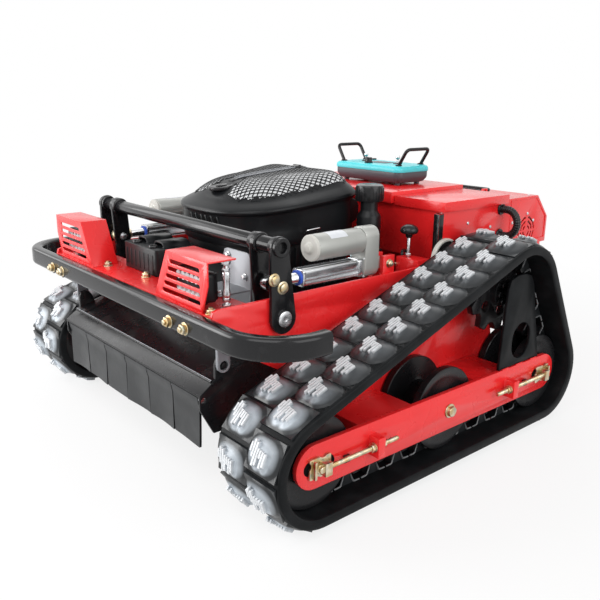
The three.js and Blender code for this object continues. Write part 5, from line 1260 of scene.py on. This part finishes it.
def engine_plan(inset, steps=14):
    """Plan of the engine: a round nose and a squarer tail."""
    x0, x1 = ENGINE_X - PLAN["half"] + inset, ENGINE_X + PLAN["half"] - inset
    front, rear = PLAN["front"] + inset, PLAN["rear"] - inset
    nose, tail = PLAN["nose"] - inset, PLAN["tail"] - inset / 2
    spots = [Vector(p) for p in ((x0, front), (x1, front), (x1, rear), (x0, rear))]
    points = []
    for i, radius in enumerate((nose, nose, tail, tail)):
        points += rounded_corner(spots[i - 1], spots[i], spots[(i + 1) % 4], radius, steps)
    return points


def along_engine(y):
    return (y - PLAN["front"]) / (PLAN["rear"] - PLAN["front"])


def rear_share(y):
    """0 over the cover's front half, growing to 1 at its back."""
    return min(1.0, max(0.0, (y + 140.0) / 180.0))


def raised(x, y, base):
    """A place on the cover, which climbs to the back."""
    return Vector((x, y, base + CLIMB * along_engine(y)))


def cover_top_form():
    """The cover's skin from its skirt over the rim to the crest."""
    centre = Vector((ENGINE_X, -138.0))
    crest_inset, crest = TOP_RINGS[-1]
    rings = []
    for inset, base, climb in WALL_RINGS:
        points = []
        for p in engine_plan(inset):
            back = along_engine(p.y)
            hollow = SCOOP["depth"] * bell(back, SCOOP["back"], SCOOP["reach"])
            hollow *= bell(base, SCOOP["height"], SCOOP["spread"])
            q = p + (centre - p).normalized() * hollow
            points.append(Vector((q.x, q.y, base + climb * back)))
        rings.append(points)
    for inset, base in TOP_RINGS:
        points = []
        for p in engine_plan(inset):
            share = rear_share(p.y)
            x, y = p.x + math.copysign(0.35, p.x - ENGINE_X) * share * inset, p.y + 0.55 * share * inset
            points.append(raised(x, y, base + SHOULDER * share * math.sin(math.pi * inset / crest_inset)))
        rings.append(points)
    inner = rings[-1]
    for share in (0.35, 0.7, 0.97):
        spots = [p.xy.lerp(centre, share) for p in inner]
        rings.append([raised(q.x, q.y, crest + 1.2 * share) for q in spots])
    return swept(rings)


def inset_of(x, y, rim):
    """How far a place inside the rim lies from it."""
    spot = Vector((x, y))
    nearest = 1e9
    for a, b in zip(rim, rim[1:] + rim[:1]):
        edge = b - a
        if edge.length_squared < 1e-9:
            continue
        share = min(1.0, max(0.0, (spot - a).dot(edge) / edge.length_squared))
        nearest = min(nearest, (spot - a - edge * share).length)
    return nearest


def in_mesh_panel(x, y, rim):
    """Whether a place on the cover's top lies in one of its two mesh panels."""
    back, aside = along_engine(y), abs(x - ENGINE_X)
    if not 0.14 < back < 0.91 or aside > PLAN["half"] - 28:
        return False
    spine = 15 + 26 * max(0.0, (0.38 - back) / 0.20)
    return aside > spine and inset_of(x, y, rim) > 37 - 14 * rear_share(y)


def height_on(skin, y, x=ENGINE_X):
    """Height of the cover over a place, by default on its middle line."""
    return skin.ray_cast(Vector((x * MM, y * MM, 1.0)), Vector((0, 0, -1)))[0].z / MM


class MOWER_OT_cover(bpy.types.Operator):
    """Builds the engine's moulded cover with its mesh panels, crest and slots"""

    bl_idname = "mower.cover"
    bl_label = "Engine cover"

    def execute(self, context):
        sizes = context.scene.mower_cover
        cover = tidied(new_object("cover_shell", cover_top_form()))
        dressed(cover, "plastic", "deck", ("engine_cover",), 44.0)
        rim = engine_plan(0)
        skin = BVHTree.FromPolygons([v.co for v in cover.data.vertices], [p.vertices for p in cover.data.polygons])
        self.backing(rim, skin)
        self.lattice(rim, cover, sizes)
        self.crest(skin)
        self.trim(skin)
        self.slots(sizes)
        return {"FINISHED"}

    def backing(self, rim, skin):
        """Pale backing that lies on the cover under the mesh panels."""
        step = 5.0
        corners, faces, known = [], [], {}
        for i in range(int(PLAN["half"] * 2 / step)):
            for j in range(int((PLAN["rear"] - PLAN["front"]) / step)):
                x, y = ENGINE_X - PLAN["half"] + i * step, PLAN["front"] + j * step
                quad = []
                for u, v in ((x, y), (x + step, y), (x + step, y + step), (x, y + step)):
                    if not in_mesh_panel(u, v, rim):
                        break
                    key = (round(u, 3), round(v, 3))
                    if key not in known:
                        known[key] = len(corners)
                        corners.append(Vector((u, v, height_on(skin, v, u) + 0.5)))
                    quad.append(known[key])
                else:
                    faces.append(tuple(quad))
        piece = new_object("cover_backing", (corners, faces))
        dressed(thickened(piece, 0.8, -1.0), "grille", "deck", angle=60.0)

    def lattice(self, rim, cover, sizes):
        """Black lattice over the backing: one diamond ring for each cell."""
        size, bar = sizes.cell, sizes.bar
        width, length = size * 0.72, size
        levels = ((0, -0.4), (0, 1.0), (0.08, 1.5), (1.1, 1.5), (1.25, 1.0), (1.25, -0.4))
        rings = []
        for share, z in levels:
            half_w, half_l = width - bar * share, length - bar * share
            rings.append([Vector(p) for p in ((half_w, 0, z), (0, half_l, z), (-half_w, 0, z), (0, -half_l, z))])
        cell = tidied(new_object("lattice_cell", swept(rings, closed=True)))
        points = []
        cols = int(PLAN["half"] / width) + 1
        for j in range(int((PLAN["rear"] - PLAN["front"]) / length) + 1):
            for i in range(-cols, cols + 1):
                x = ENGINE_X + i * width
                y = PLAN["front"] + j * 2 * length + (length if i % 2 else 0.0)
                if y < PLAN["rear"] and in_mesh_panel(x, y, rim):
                    points.append((x, y, 0.0))
        skin = linked("lattice_skin", cover.data.copy())
        piece = modified(new_object("cover_lattice", (points, [])), "NODES", node_group=lattice_tree(), inputs={
            "Cell": cell, "Surface": skin, "Drop": 0.7, "Material": finish("plastic"),
        })
        for spare in (cell, skin):
            bpy.data.objects.remove(spare)
        dressed(piece, "plastic", "deck", angle=30.0)

    def crest(self, skin):
        """Raised strip down the middle of the cover and two pale lines on it, a painted highlight along the crest."""
        rings = []
        for k in range(31):
            y = -226 + k * 232 / 30
            half = 7 + 9 * math.sin(math.pi * min(1.0, (k + 4) / 34))
            section = ((-half, -2.0), (2 - half, 1.4), (0, 2.6), (half - 2, 1.4), (half, -2.0), (0, -4.0))
            rings.append([Vector((ENGINE_X + x, y, height_on(skin, y) + z)) for x, z in section])
        made("cover_crest", [swept(rings)], "knob", "deck", angle=50.0)
        highlight_lines = []
        for lane in (-1, 1):
            path = []
            for k in range(27):
                y = -210 + k * 8.2
                half = 4 + 7 * math.sin(math.pi * min(1.0, (k + 3) / 30))
                path.append((ENGINE_X + lane * half, y, height_on(skin, y) + 2.1))
            highlight_lines.append(tube(path, 1.7, 8))
        made("cover_crest_trim", highlight_lines, "sheet", "deck", angle=60.0)

    def trim(self, skin):
        """Blank round badge, filler knob, rim bead, side panels and the small bail on the cover."""
        place = Vector((ENGINE_X, -250, height_on(skin, -250) + 0.5))
        tilt = Matrix.Translation(place) @ Matrix.Rotation(math.radians(9), 4, "X")
        badge = [
            lathe("z", 0, 0, [(0, -4), (30, -4), (31, -1), (30, 2.4), (26, 3.4), (24.5, 2.0), (0, 1.6)], 48),
            lathe("z", 0, 0, [(0, 1.0), (13, 1.0), (13, 3.2), (12, 4.0), (0, 4.2)], 36),
        ]
        made("cover_badge", [moved(form, tilt) for form in badge], "knob", "deck", angle=40.0)
        z = height_on(skin, -26) - 1
        knob = [
            lathe("z", ENGINE_X, -26, [(0, z), (16, z), (17, z + 2), (15, z + 5), (9, z + 6.4), (0, z + 6.6)], 36),
            block(ENGINE_X - 12, ENGINE_X + 12, -29, -23, z + 4, z + 8),
        ]
        made("cover_knob", knob, "knob", "deck", bevel=1.0)
        bead = [raised(p.x, p.y, 505.0) for p in engine_plan(0.9)]
        made("cover_rim", [tube(bead + bead[:1], 1.4, 8)], "plastic", "deck", angle=60.0)
        panels = [
            plate("x", [(-98, 470), (-36, 474), (-36, 520), (-74, 522), (-98, 500)], 157.0, 160.6),
            plate("x", round_rectangle(-32, 24, 466, 524, 24), 150.0, 160.0),
        ]
        shift = Matrix.Translation((2 * ENGINE_X, 0, 0))
        panels += [moved(mirrored(form), shift) for form in panels]
        made("cover_side_panels", panels, "plastic", "deck", bevel=1.6, segments=3)
        bail = smoothed([(166, -150, 459), (178, -150, 467), (178, -112, 469), (166, -112, 461)], 5)
        made("cover_bail", [tube(bail, 1.8, 10)], "chrome", "deck", angle=60.0)

    def slots(self, sizes):
        """Slanted louvres across the nose: near-black blocks of painted shade in the slots, with a thin blade beside
        each.
        """
        places = []
        rim = engine_plan(4.2, 60)
        for i in range(sizes.slots):
            x = ENGINE_X + 14 + (i - (sizes.slots - 1) / 2) * 19.0
            p = min((q for q in rim if q.y < -200), key=lambda q: abs(q.x - x))
            out = Vector(((p.x - ENGINE_X) * 0.8, p.y + 148, 0)).normalized()
            up = Vector((0, 0, 1)) - Vector((-out.y, out.x, 0)) * 0.42
            turn = Matrix((up.cross(out).normalized(), up.normalized(), out)).transposed()
            places.append((Vector((p.x, p.y, 482.0)), turn))
        repeated("cover_slot_pits", pattern_object(block(-4.6, 4.6, -12, 12, -4, 0.6), 0.4), places, "pit", "deck")
        repeated("cover_louvres", pattern_object(block(4.2, 8.0, -13, 13, -4, 2.4), 0.9), places, "flap", "deck")


class MOWER_OT_engine(bpy.types.Operator):
    """Builds the engine's block, fins, filler, cap and silencer"""

    bl_idname = "mower.engine"
    bl_label = "Engine"

    def execute(self, context):
        self.block()
        self.filler()
        shell = [
            (0, -189), (20, -190), (25, -182), (26, -176), (26.8, -175), (26.8, -172), (26, -171), (26, -29),
            (26.8, -28), (26.8, -25), (26, -24), (25, -18), (20, -10), (0, -11),
        ]
        silencer = [lathe("y", -206, 400, shell, 44), drum("x", -100, 400, 12, -205, -171)]
        made("silencer", silencer, "steel", "deck", ("muffler",), angle=40.0)
        shaft = [lathe("z", ENGINE_X, BLADE_Y, [(0, 150.3), (13, 150.3), (14, 152), (14, 302), (0, 302)], 36)]
        made("shaft", shaft, "steel", "cutter", ("crankshaft",))
        return {"FINISHED"}

    def block(self):
        """Case on its round flange, with upright ribs down its sides and back, and the flange's bolts."""
        forms = [
            plate("z", engine_plan(14, 8), 274, 452), plate("z", engine_plan(22, 8), 450, 461.7),
            lathe("z", ENGINE_X, BLADE_Y, [(15, 262.3), (120, 262.3), (121, 264), (121, 276), (15, 276),
                                           (15, 262.3)], 56),
            block(ENGINE_X, 232, -11, 35, 398, 411.6),
        ]
        made("engine_case", forms, "plastic", "deck", ("engine_block",), bevel=2.0, segments=3)
        places = []
        for mirror in (1, -1):
            turn = Matrix.Rotation(-mirror * math.pi / 2, 3, "Z")
            places += [(Vector((ENGINE_X + mirror * 163.4, -216 + i * 17.0, 362)), turn) for i in range(11)]
        places += [(Vector((ENGINE_X - 68 + i * 17, 27.0, 362)), Matrix.Identity(3)) for i in range(9)]
        repeated("engine_ribs", pattern_object(block(-1.4, 1.4, -2.2, 3.4, -64, 64), 0.8), places, "plastic", "deck")
        spots = [
            ((ENGINE_X + 108 * math.cos(a), BLADE_Y + 108 * math.sin(a), 276), (0, 0, 1)) for a in (0.5, 2.2, 3.9, 5.4)
        ]
        fastener_row("engine_bolts", hex_bolt(13, 7), spots, "zinc", "deck")

    def filler(self):
        """Filler neck and its gripped cap."""
        neck = [(0, 412.2), (27, 412.2), (28, 414), (28, 486), (26, 491), (21, 498), (20, 503), (20, 539.6), (0, 539.6)]
        made("filler_neck", [lathe("z", *FILLER, neck, 44)], "plastic", "deck", ("fuel_filler",), angle=40.0)
        cap = [(20.8, 522.5), (31, 522.5), (32, 524), (32, 554), (30.6, 558), (27, 560), (10, 559.4), (0, 559.2)]
        made("cap_body", [lathe("z", *FILLER, cap, 56)], "knob", "cap", ("fuel_cap",), angle=40.0)
        places = []
        for i in range(26):
            angle = 2 * math.pi * i / 26
            spot = Vector((FILLER[0] + 31.4 * math.cos(angle), FILLER[1] + 31.4 * math.sin(angle), 540))
            places.append((spot, Matrix.Rotation(angle - math.pi / 2, 3, "Z")))
        repeated("cap_grips", pattern_object(block(-1.2, 1.2, 0, 1.6, -13, 13), 0.5), places, "knob", "cap")


class MOWER_OT_deck(bpy.types.Operator):
    """Refines the deck and blade and builds the rubber flaps"""

    bl_idname = "mower.deck"
    bl_label = "Cutting deck"

    def execute(self, context):
        refined("deck_body", "deck_shell", "deck", 1.0)
        made("deck_fold", [tube([(-303, -490, 236), (303, -490, 236)], 3.4)], "deck", "deck", angle=60.0)
        # painted highlight: a thin pale grey line along the top of the fold
        edge = tube([(-302, -490.4, 239), (302, -490.4, 239)], 1.0, 8)
        made("deck_fold_edge", [edge], "sheet", "deck", angle=60.0)
        refined("blade_bar", "blade", "steel", 0.8)
        made("flap_rod", [drum("x", FLAP_Y, 204, 5, -302, 302, 24)], "steel", "flaps")
        count, half = 6, 296.0
        strips = [self.strip(i, -half + i * 2 * half / count, 2 * half / count - 3) for i in range(count)]
        made("flap_strips", strips, "flap", "flaps", ("deck_flaps",), angle=50.0)
        return {"FINISHED"}

    def strip(self, number, left, width):
        """One flap: a sheet that is thicker round the rod, hollow across and sways a little at its foot."""
        cols, rows, high, low = 6, 10, 208.0, 105.2
        corners = []
        for face in (-1, 1):
            for r in range(rows + 1):
                for c in range(cols + 1):
                    out = {0: face * 6.0, 1: face * 5.2}.get(r)
                    if out is None:
                        sway = 2.2 * math.sin(1.7 * number + 2.6 * c / cols) * (r / rows) ** 2
                        out = face * 2.4 + sway + 1.2 * math.cos(math.pi * (c / cols - 0.5))
                    z = high - (high - low) * r / rows
                    corners.append(Vector((left + width * c / cols, FLAP_Y + out, z)))
        total = len(corners) // 2
        faces = grid(cols, rows, turned=True) + grid(cols, rows, total)
        border = grid_border(cols, rows)
        faces += [(a, b, total + b, total + a) for a, b in zip(border, border[1:] + border[:1])]
        return corners, faces


class MOWER_OT_front_fittings(bpy.types.Operator):
    """Refines the box and the shield in front of the engine"""

    bl_idname = "mower.front_fittings"
    bl_label = "Front fittings"

    def execute(self, context):
        low, high = box_mm("front_box")
        ribs = []
        for k in range(7):
            x = low.x + 14 + k * (high.x - low.x - 28) / 6
            ribs.append(block(x - 2.2, x + 2.2, low.y - 1.2, low.y + 2, low.z + 8, low.z + 46))
        refined("front_case", "front_box", "plastic", 1.6, 3, ribs)
        port = [(0, 433), (10, 433), (10.5, 434), (10.5, 437), (9.5, 438.4), (7, 438.4), (6.6, 436), (0, 435.6)]
        made("front_ports", [lathe("z", x, -431, port, 28) for x in (-79, -6)], "knob", "chassis", angle=40.0)
        refined("shield_sheet", "shield_plate", "sheet", 0.6)
        spots = [((x, -418, 379.6), (0, 0, 1)) for x in (166, 227)]
        spots += [((x, -355.4, z), (0, -1, 0)) for x, z in ((168, 438), (226, 402))]
        fastener_row("shield_bolts", hex_bolt(10, 5), spots, "steel", "chassis")
        for _, label in SIDES:
            refined(f"drive_motor_can_{label}", f"drive_motor_{label}", "cast", 1.2)
        return {"FINISHED"}


class MOWER_OT_control_box(bpy.types.Operator):
    """Refines the control box and lid, and builds the hose, handle, knob and covers"""

    bl_idname = "mower.control_box"
    bl_label = "Control box"

    def execute(self, context):
        refined("box_sheet", "control_box", "red", 0.8)
        refined("lid_sheet", "control_lid", "red", 1.0)
        post = block(328.6, BOX_FACE, 94.6, 110.9, 388.6, 500.2)
        made("corner_post", [post], "black", "chassis", bevel=1.6, segments=3)
        handle = smoothed([(129.3, 408, 519), (129.3, 442, 519), (228.7, 442, 519), (228.7, 408, 519)], 9)
        forms = [tube(handle, 5.0, 16), tube([(120, 408, 519), (238, 408, 519)], 2.5, 12)]
        made("handle_bar", forms, "black", "handle", ("top_handle",), angle=60.0)
        face = BOX_FACE
        disc = [(0, face), (40, face), (40, 353), (37, 354.6), (12, 355.0), (0, 354.2)]
        made("side_disc", [lathe("x", 118, 398, disc, 56)], "knob", "chassis", ("side_cover",), angle=40.0)
        rim = [(39.5, face), (46, face), (46, 352), (44, 355.2), (40.5, 355.2), (39.5, 353), (39.5, face)]
        made("side_disc_rim", [lathe("x", 118, 398, rim, 56)], "cap", "chassis", angle=40.0)
        self.choke()
        self.hose()
        screws = []
        for y, z in ((383, 452), (477, 450), (200, 470), (290, 452), (448, 470)):
            screws += [((side * 345.0, y, z), (side, 0, 0)) for side in (1, -1)]
        screws += [((x, 470, 513.0), (0, 0, 1)) for x in (-320, -180, 60, 330)]
        fastener_row("box_screws", pan_screw(4.0, 2.2), screws, "steel", "chassis")
        outline = ((372, 508), (484, 508), (534, 456), (534, 400), (372, 400))
        seam = [
            tube([(face, 372, 400), (face, 372, 508)], 0.7, 6), tube([(face, y, z) for y, z in outline], 0.7, 6),
        ]
        made("side_panel_seam", seam, "red", "chassis", angle=60.0)
        return {"FINISHED"}

    def choke(self):
        """Knob on its stem, a collar round it with plated fittings beside it, and two black pipes."""
        x, y = CHOKE
        head = [
            (0, 476), (8, 475.4), (15, 472), (19.6, 467), (20.8, 461.5), (19.4, 457.4), (15, 455), (8.6, 452.5),
            (7.4, 448), (5, 445), (0, 444.5),
        ]
        made("choke_head", [lathe("z", x, y, head, 44)], "knob", "choke", ("choke_knob",), angle=50.0)
        stem = [drum("z", x, y, 3.9, 374.5, 446, 20), hex_nut("z", x, y, 13, 404, 410)]
        made("choke_stem", stem, "steel", "choke", bevel=0.3)
        collar = [(5, 376), (13, 376), (13, 379), (9, 380), (9, 392), (7, 394), (5, 394), (5, 376)]
        collar = [lathe("z", x, y, collar, 30), block(270, 286, 44, 60, 376, 392)]
        made("choke_collar", collar, "steel", "chassis", bevel=0.8)
        fittings = [
            hex_nut("z", 278, y, 13, 391, 397), hex_nut("y", 278, 384, 11, 37, 45), drum("y", 278, 384, 4, 28, 38, 18),
        ]
        made("choke_fittings", fittings, "zinc", "chassis", bevel=0.3)
        pipes = [
            tube(smoothed([(278, y, 396), (278, y, 410), (262, 74, 410), (262, 96, 398)], 10), 3.6, 10),
            tube(smoothed([(278, 29, 384), (278, 10, 384), (262, -4, 380), (262, -24, 377.4)], 9), 3.2, 10),
        ]
        made("choke_pipes", pipes, "knob", "chassis", angle=60.0)

    def hose(self):
        """Corrugated hose out of one hole and into the other."""
        top, foot = HOSE_Z
        half, straight, bulge, root, wave = (top - foot) / 2, 30.0, 30, 333, 4.4
        total = math.pi * half + 2 * straight
        count = 132
        path, ribs = [], []
        for i in range(count + 1):
            s = total * i / count
            if s < straight:
                spot = (root + s, HOSE_Y, top)
            elif s > straight + math.pi * half:
                spot = (root + total - s, HOSE_Y, foot)
            else:
                a = math.pi / 2 - (s - straight) / half
                spot = (root + straight + bulge * math.cos(a), HOSE_Y, (top + foot) / 2 + half * math.sin(a))
            path.append(spot)
            ribs.append(9.0 + 0.6 * math.cos(2 * math.pi * i / wave))
        made("hose_ribbed", [tube(path, 9, 20, ribs)], "knob", "chassis", ("cable_hose",), angle=70.0)
        ring = [(10.2, 345.2), (15, 345.2), (15, 347), (13, 349), (10.2, 349), (10.2, 345.2)]
        made("hose_grommets", [lathe("x", HOSE_Y, z, ring, 32) for z in HOSE_Z], "knob", "chassis", angle=40.0)


class MOWER_OT_remote(bpy.types.Operator):
    """Builds the handheld remote with its loops, sticks and knobs"""

    bl_idname = "mower.remote"
    bl_label = "Remote"

    def execute(self, context):
        base = self.shell((13, 540.2, 14), (8, 542, 17), (1.6, 551, 20), (0.6, 556, 20), (0.6, 568, 20))
        foot = [(0, 534.3), (6.5, 534.3), (7, 535), (7, 542), (0, 542)]
        feet = [lathe("z", x, y, foot, 24) for x in (-82, 106) for y in (216, 290)]
        made("remote_lower", [base, *feet], "remote", "remote", ("remote_base",), bevel=0.5)
        top = self.shell((-0.6, 568.3, 20), (-1.0, 570, 20), (-0.8, 576, 20), (0.6, 579.6, 19.6), (3.4, 582.2, 18.6),
                         (8, 583.6, 17), (14, 584.0, 14))
        made("remote_upper", [top], "cyan", "remote", ("remote_top",), angle=40.0)
        panel = plate("z", round_rectangle(-18, 42, 232, 272, 5, 5), 583.8, 585.0)
        made("remote_panel", [panel], "remote", "remote", bevel=0.4)
        rim = [(5.4, 583.6), (12, 583.6), (12, 585.4), (9, 587.2), (5.4, 586.2), (5.4, 583.6)]
        made("stick_gaiters", [lathe("z", STICK_X[side], 253, rim, 32) for side in (-1, 1)], "knob", "remote",
             angle=50.0)
        for side, label in SIDES:
            self.loop_and_stick(side, label)
        dial = [(0, 584.3), (11, 584.3), (11, 587), (9.4, 588.4), (9.2, 597), (8.2, 598.3), (0, 598.3)]
        dial = [lathe("z", 2, 214, dial, 36), block(1.2, 2.8, 205, 213, 597.6, 599.2)]
        made("dial", dial, "knob", "knob", ("remote_knob",), bevel=0.3)
        made("remote_button", [drum("z", -60, 300, 6, 584, 588, 24)], "knob", "remote", bevel=0.4)
        return {"FINISHED"}

    def shell(self, *levels):
        """Skin through rounded rectangles, each given by its inset, height and corner radius."""
        x0, x1, y0, y1 = -107.0, 131.0, 191.0, 315.0
        return swept([
            [Vector((u, v, z)) for u, v in round_rectangle(x0 + i, x1 - i, y0 + i, y1 - i, corner)]
            for i, z, corner in levels
        ])

    def loop_and_stick(self, side, label):
        """The carrying loop at one end on its two feet, and the stick beside it."""
        x = 112 if side > 0 else -88
        over = x + side * 26
        loop = smoothed([(x, 211, 584.3), (over, 211, 625.6), (over, 295, 625.6), (x, 295, 584.3)], 13, 8)
        made(f"loop_{label}", [tube(loop, 4.4, 16)], "black", "remote", (f"remote_loop_{label}",), angle=60.0)
        foot = [(0, 584.1), (8.5, 584.1), (8.5, 585.6), (7, 587), (0, 587)]
        feet = [lathe("z", x, y, foot, 28) for y in (211, 295)]
        made(f"loop_feet_{label}", feet, "knob", "remote", angle=40.0)
        stick = [
            (0, 576), (3.5, 577), (4.5, 580), (3.6, 583.4), (2.5, 584), (2.5, 595), (4.2, 596.4), (5.8, 600),
            (5.4, 603.6), (3.6, 605.6), (0, 606),
        ]
        made(f"stick_{label}", [lathe("z", STICK_X[side], 253, stick, 28)], "steel", f"stick_{label}",
             (f"joystick_{label}",), angle=50.0)


class MOWER_OT_stage(bpy.types.Operator):
    """Sets the camera, the pale floor and the soft lights"""

    bl_idname = "mower.stage"
    bl_label = "Camera, floor and lights"

    def execute(self, context):
        self.camera(context.scene)
        self.floor(context.scene.mower_stage)
        self.lights(context.scene)
        return {"FINISHED"}

    def camera(self, scene):
        view = scene.mower_camera
        azimuth, elevation, roll = (math.radians(v) for v in (view.azimuth, view.elevation, view.roll))
        flat = Vector((math.sin(azimuth), -math.cos(azimuth), 0)) * math.cos(elevation)
        back = flat + Vector((0, 0, math.sin(elevation)))
        flat_right = Vector((math.cos(azimuth), math.sin(azimuth), 0))
        flat_up = flat_right.cross(-back)
        right = flat_right * math.cos(roll) + flat_up * math.sin(roll)
        up = flat_up * math.cos(roll) - flat_right * math.sin(roll)
        data = bpy.data.cameras.new("camera")
        data.lens, data.sensor_width = view.focal, 36.0
        data.clip_start, data.clip_end = 0.05, 100.0
        scene.camera = linked("camera", data)
        turn = Matrix((right, up, back)).transposed().to_4x4()
        scene.camera.matrix_world = Matrix.Translation(Vector(view.place)) @ turn

    def floor(self, settings):
        """A pale floor that keeps the machine's shadow and is seen nearly white."""
        paint = Paint("floor")
        tone = paint.mix(paint.cloud(3.0, 2.0), tuple(settings.floor), darker(settings.floor, 0.985))
        surface = {"Base Color": tone, "Roughness": 0.9, "Specular IOR Level": 0.1}
        lit = paint.add("ShaderNodeBsdfPrincipled", {}, surface)
        white = paint.add("ShaderNodeEmission", {}, {"Color": (1, 1, 1, 1), "Strength": 1.0})
        reach = paint.add("ShaderNodeVectorMath", {"operation": "LENGTH"}, {0: paint.place}, "Value")
        fade = paint.band(reach, 0.75, 2.0) * (1 - settings.white) + settings.white
        blend = paint.add("ShaderNodeMixShader", {}, {0: paint.seen() * fade, 1: lit, 2: white})
        paint.add("ShaderNodeOutputMaterial", {}, {"Surface": blend})
        half = 30000
        corners = [(-half, -half, 0), (half, -half, 0), (half, half, 0), (-half, half, 0)]
        piece = new_object("floor", (corners, [(0, 1, 2, 3)]))
        piece.data.materials.append(paint.material)

    def lights(self, scene):
        settings = scene.mower_stage
        for name, place, size, power in (
            ("key", (1.2, -2.2, 2.6), 2.4, settings.key), ("fill", (3.0, 0.2, 1.5), 2.2, settings.fill),
            ("rim", (-1.8, 2.0, 2.8), 2.6, settings.rim), ("side", (-2.4, -1.6, 1.8), 2.0, settings.fill * 0.8),
            ("low", (-1.3, -2.2, 0.8), 1.4, settings.low),
        ):
            data = bpy.data.lights.new(name, "AREA")
            data.size, data.energy = size, power
            aim = Vector((0, 0, 0.3)) - Vector(place)
            turn = aim.to_track_quat("-Z", "Y").to_matrix().to_4x4()
            linked(name, data).matrix_world = Matrix.Translation(place) @ turn
        scene.world = bpy.data.worlds.new("studio")
        paint = Paint("studio", scene.world)
        strength = paint.seen() * (1 - settings.sky) + settings.sky
        sky = paint.add("ShaderNodeBackground", {}, {"Color": (1, 1, 1, 1), "Strength": strength})
        paint.add("ShaderNodeOutputWorld", {}, {"Surface": sky})
        scene.view_settings.view_transform = "Standard"


OPERATORS = (
    MOWER_OT_stage, MOWER_OT_hull, MOWER_OT_frames, MOWER_OT_belts, MOWER_OT_rollers, MOWER_OT_bumper, MOWER_OT_guards,
    MOWER_OT_lift, MOWER_OT_actuators, MOWER_OT_deck, MOWER_OT_engine, MOWER_OT_cover, MOWER_OT_front_fittings,
    MOWER_OT_control_box, MOWER_OT_remote,
)


class MOWER_PT_panel(bpy.types.Panel):
    """Lists the mower's pieces"""

    bl_label = "Slope mower"
    bl_idname = "MOWER_PT_panel"
    bl_space_type = "VIEW_3D"
    bl_region_type = "UI"
    bl_category = "Mower"

    def draw(self, context):
        for operator in OPERATORS:
            self.layout.operator(operator.bl_idname, text=operator.bl_label)
        for group in GROUPS:
            box = self.layout.box()
            settings = getattr(context.scene, group)
            for name in settings.__annotations__:
                box.prop(settings, name)


GROUPS = {
    "mower_camera": CameraSettings, "mower_stage": StageSettings, "mower_colours": ColourSettings,
    "mower_belts": BeltSettings, "mower_cover": CoverSettings,
}
CLASSES = (*GROUPS.values(), *OPERATORS, MOWER_PT_panel)


def register():
    for kind in CLASSES:
        bpy.utils.register_class(kind)
    for name, kind in GROUPS.items():
        setattr(bpy.types.Scene, name, PointerProperty(type=kind))


def unregister():
    for name in GROUPS:
        delattr(bpy.types.Scene, name)
    for kind in reversed(CLASSES):
        bpy.utils.unregister_class(kind)


def main():
    register()
    for operator in OPERATORS:
        group, name = operator.bl_idname.split(".")
        getattr(getattr(bpy.ops, group), name)()


if __name__ == "__main__":
    main()
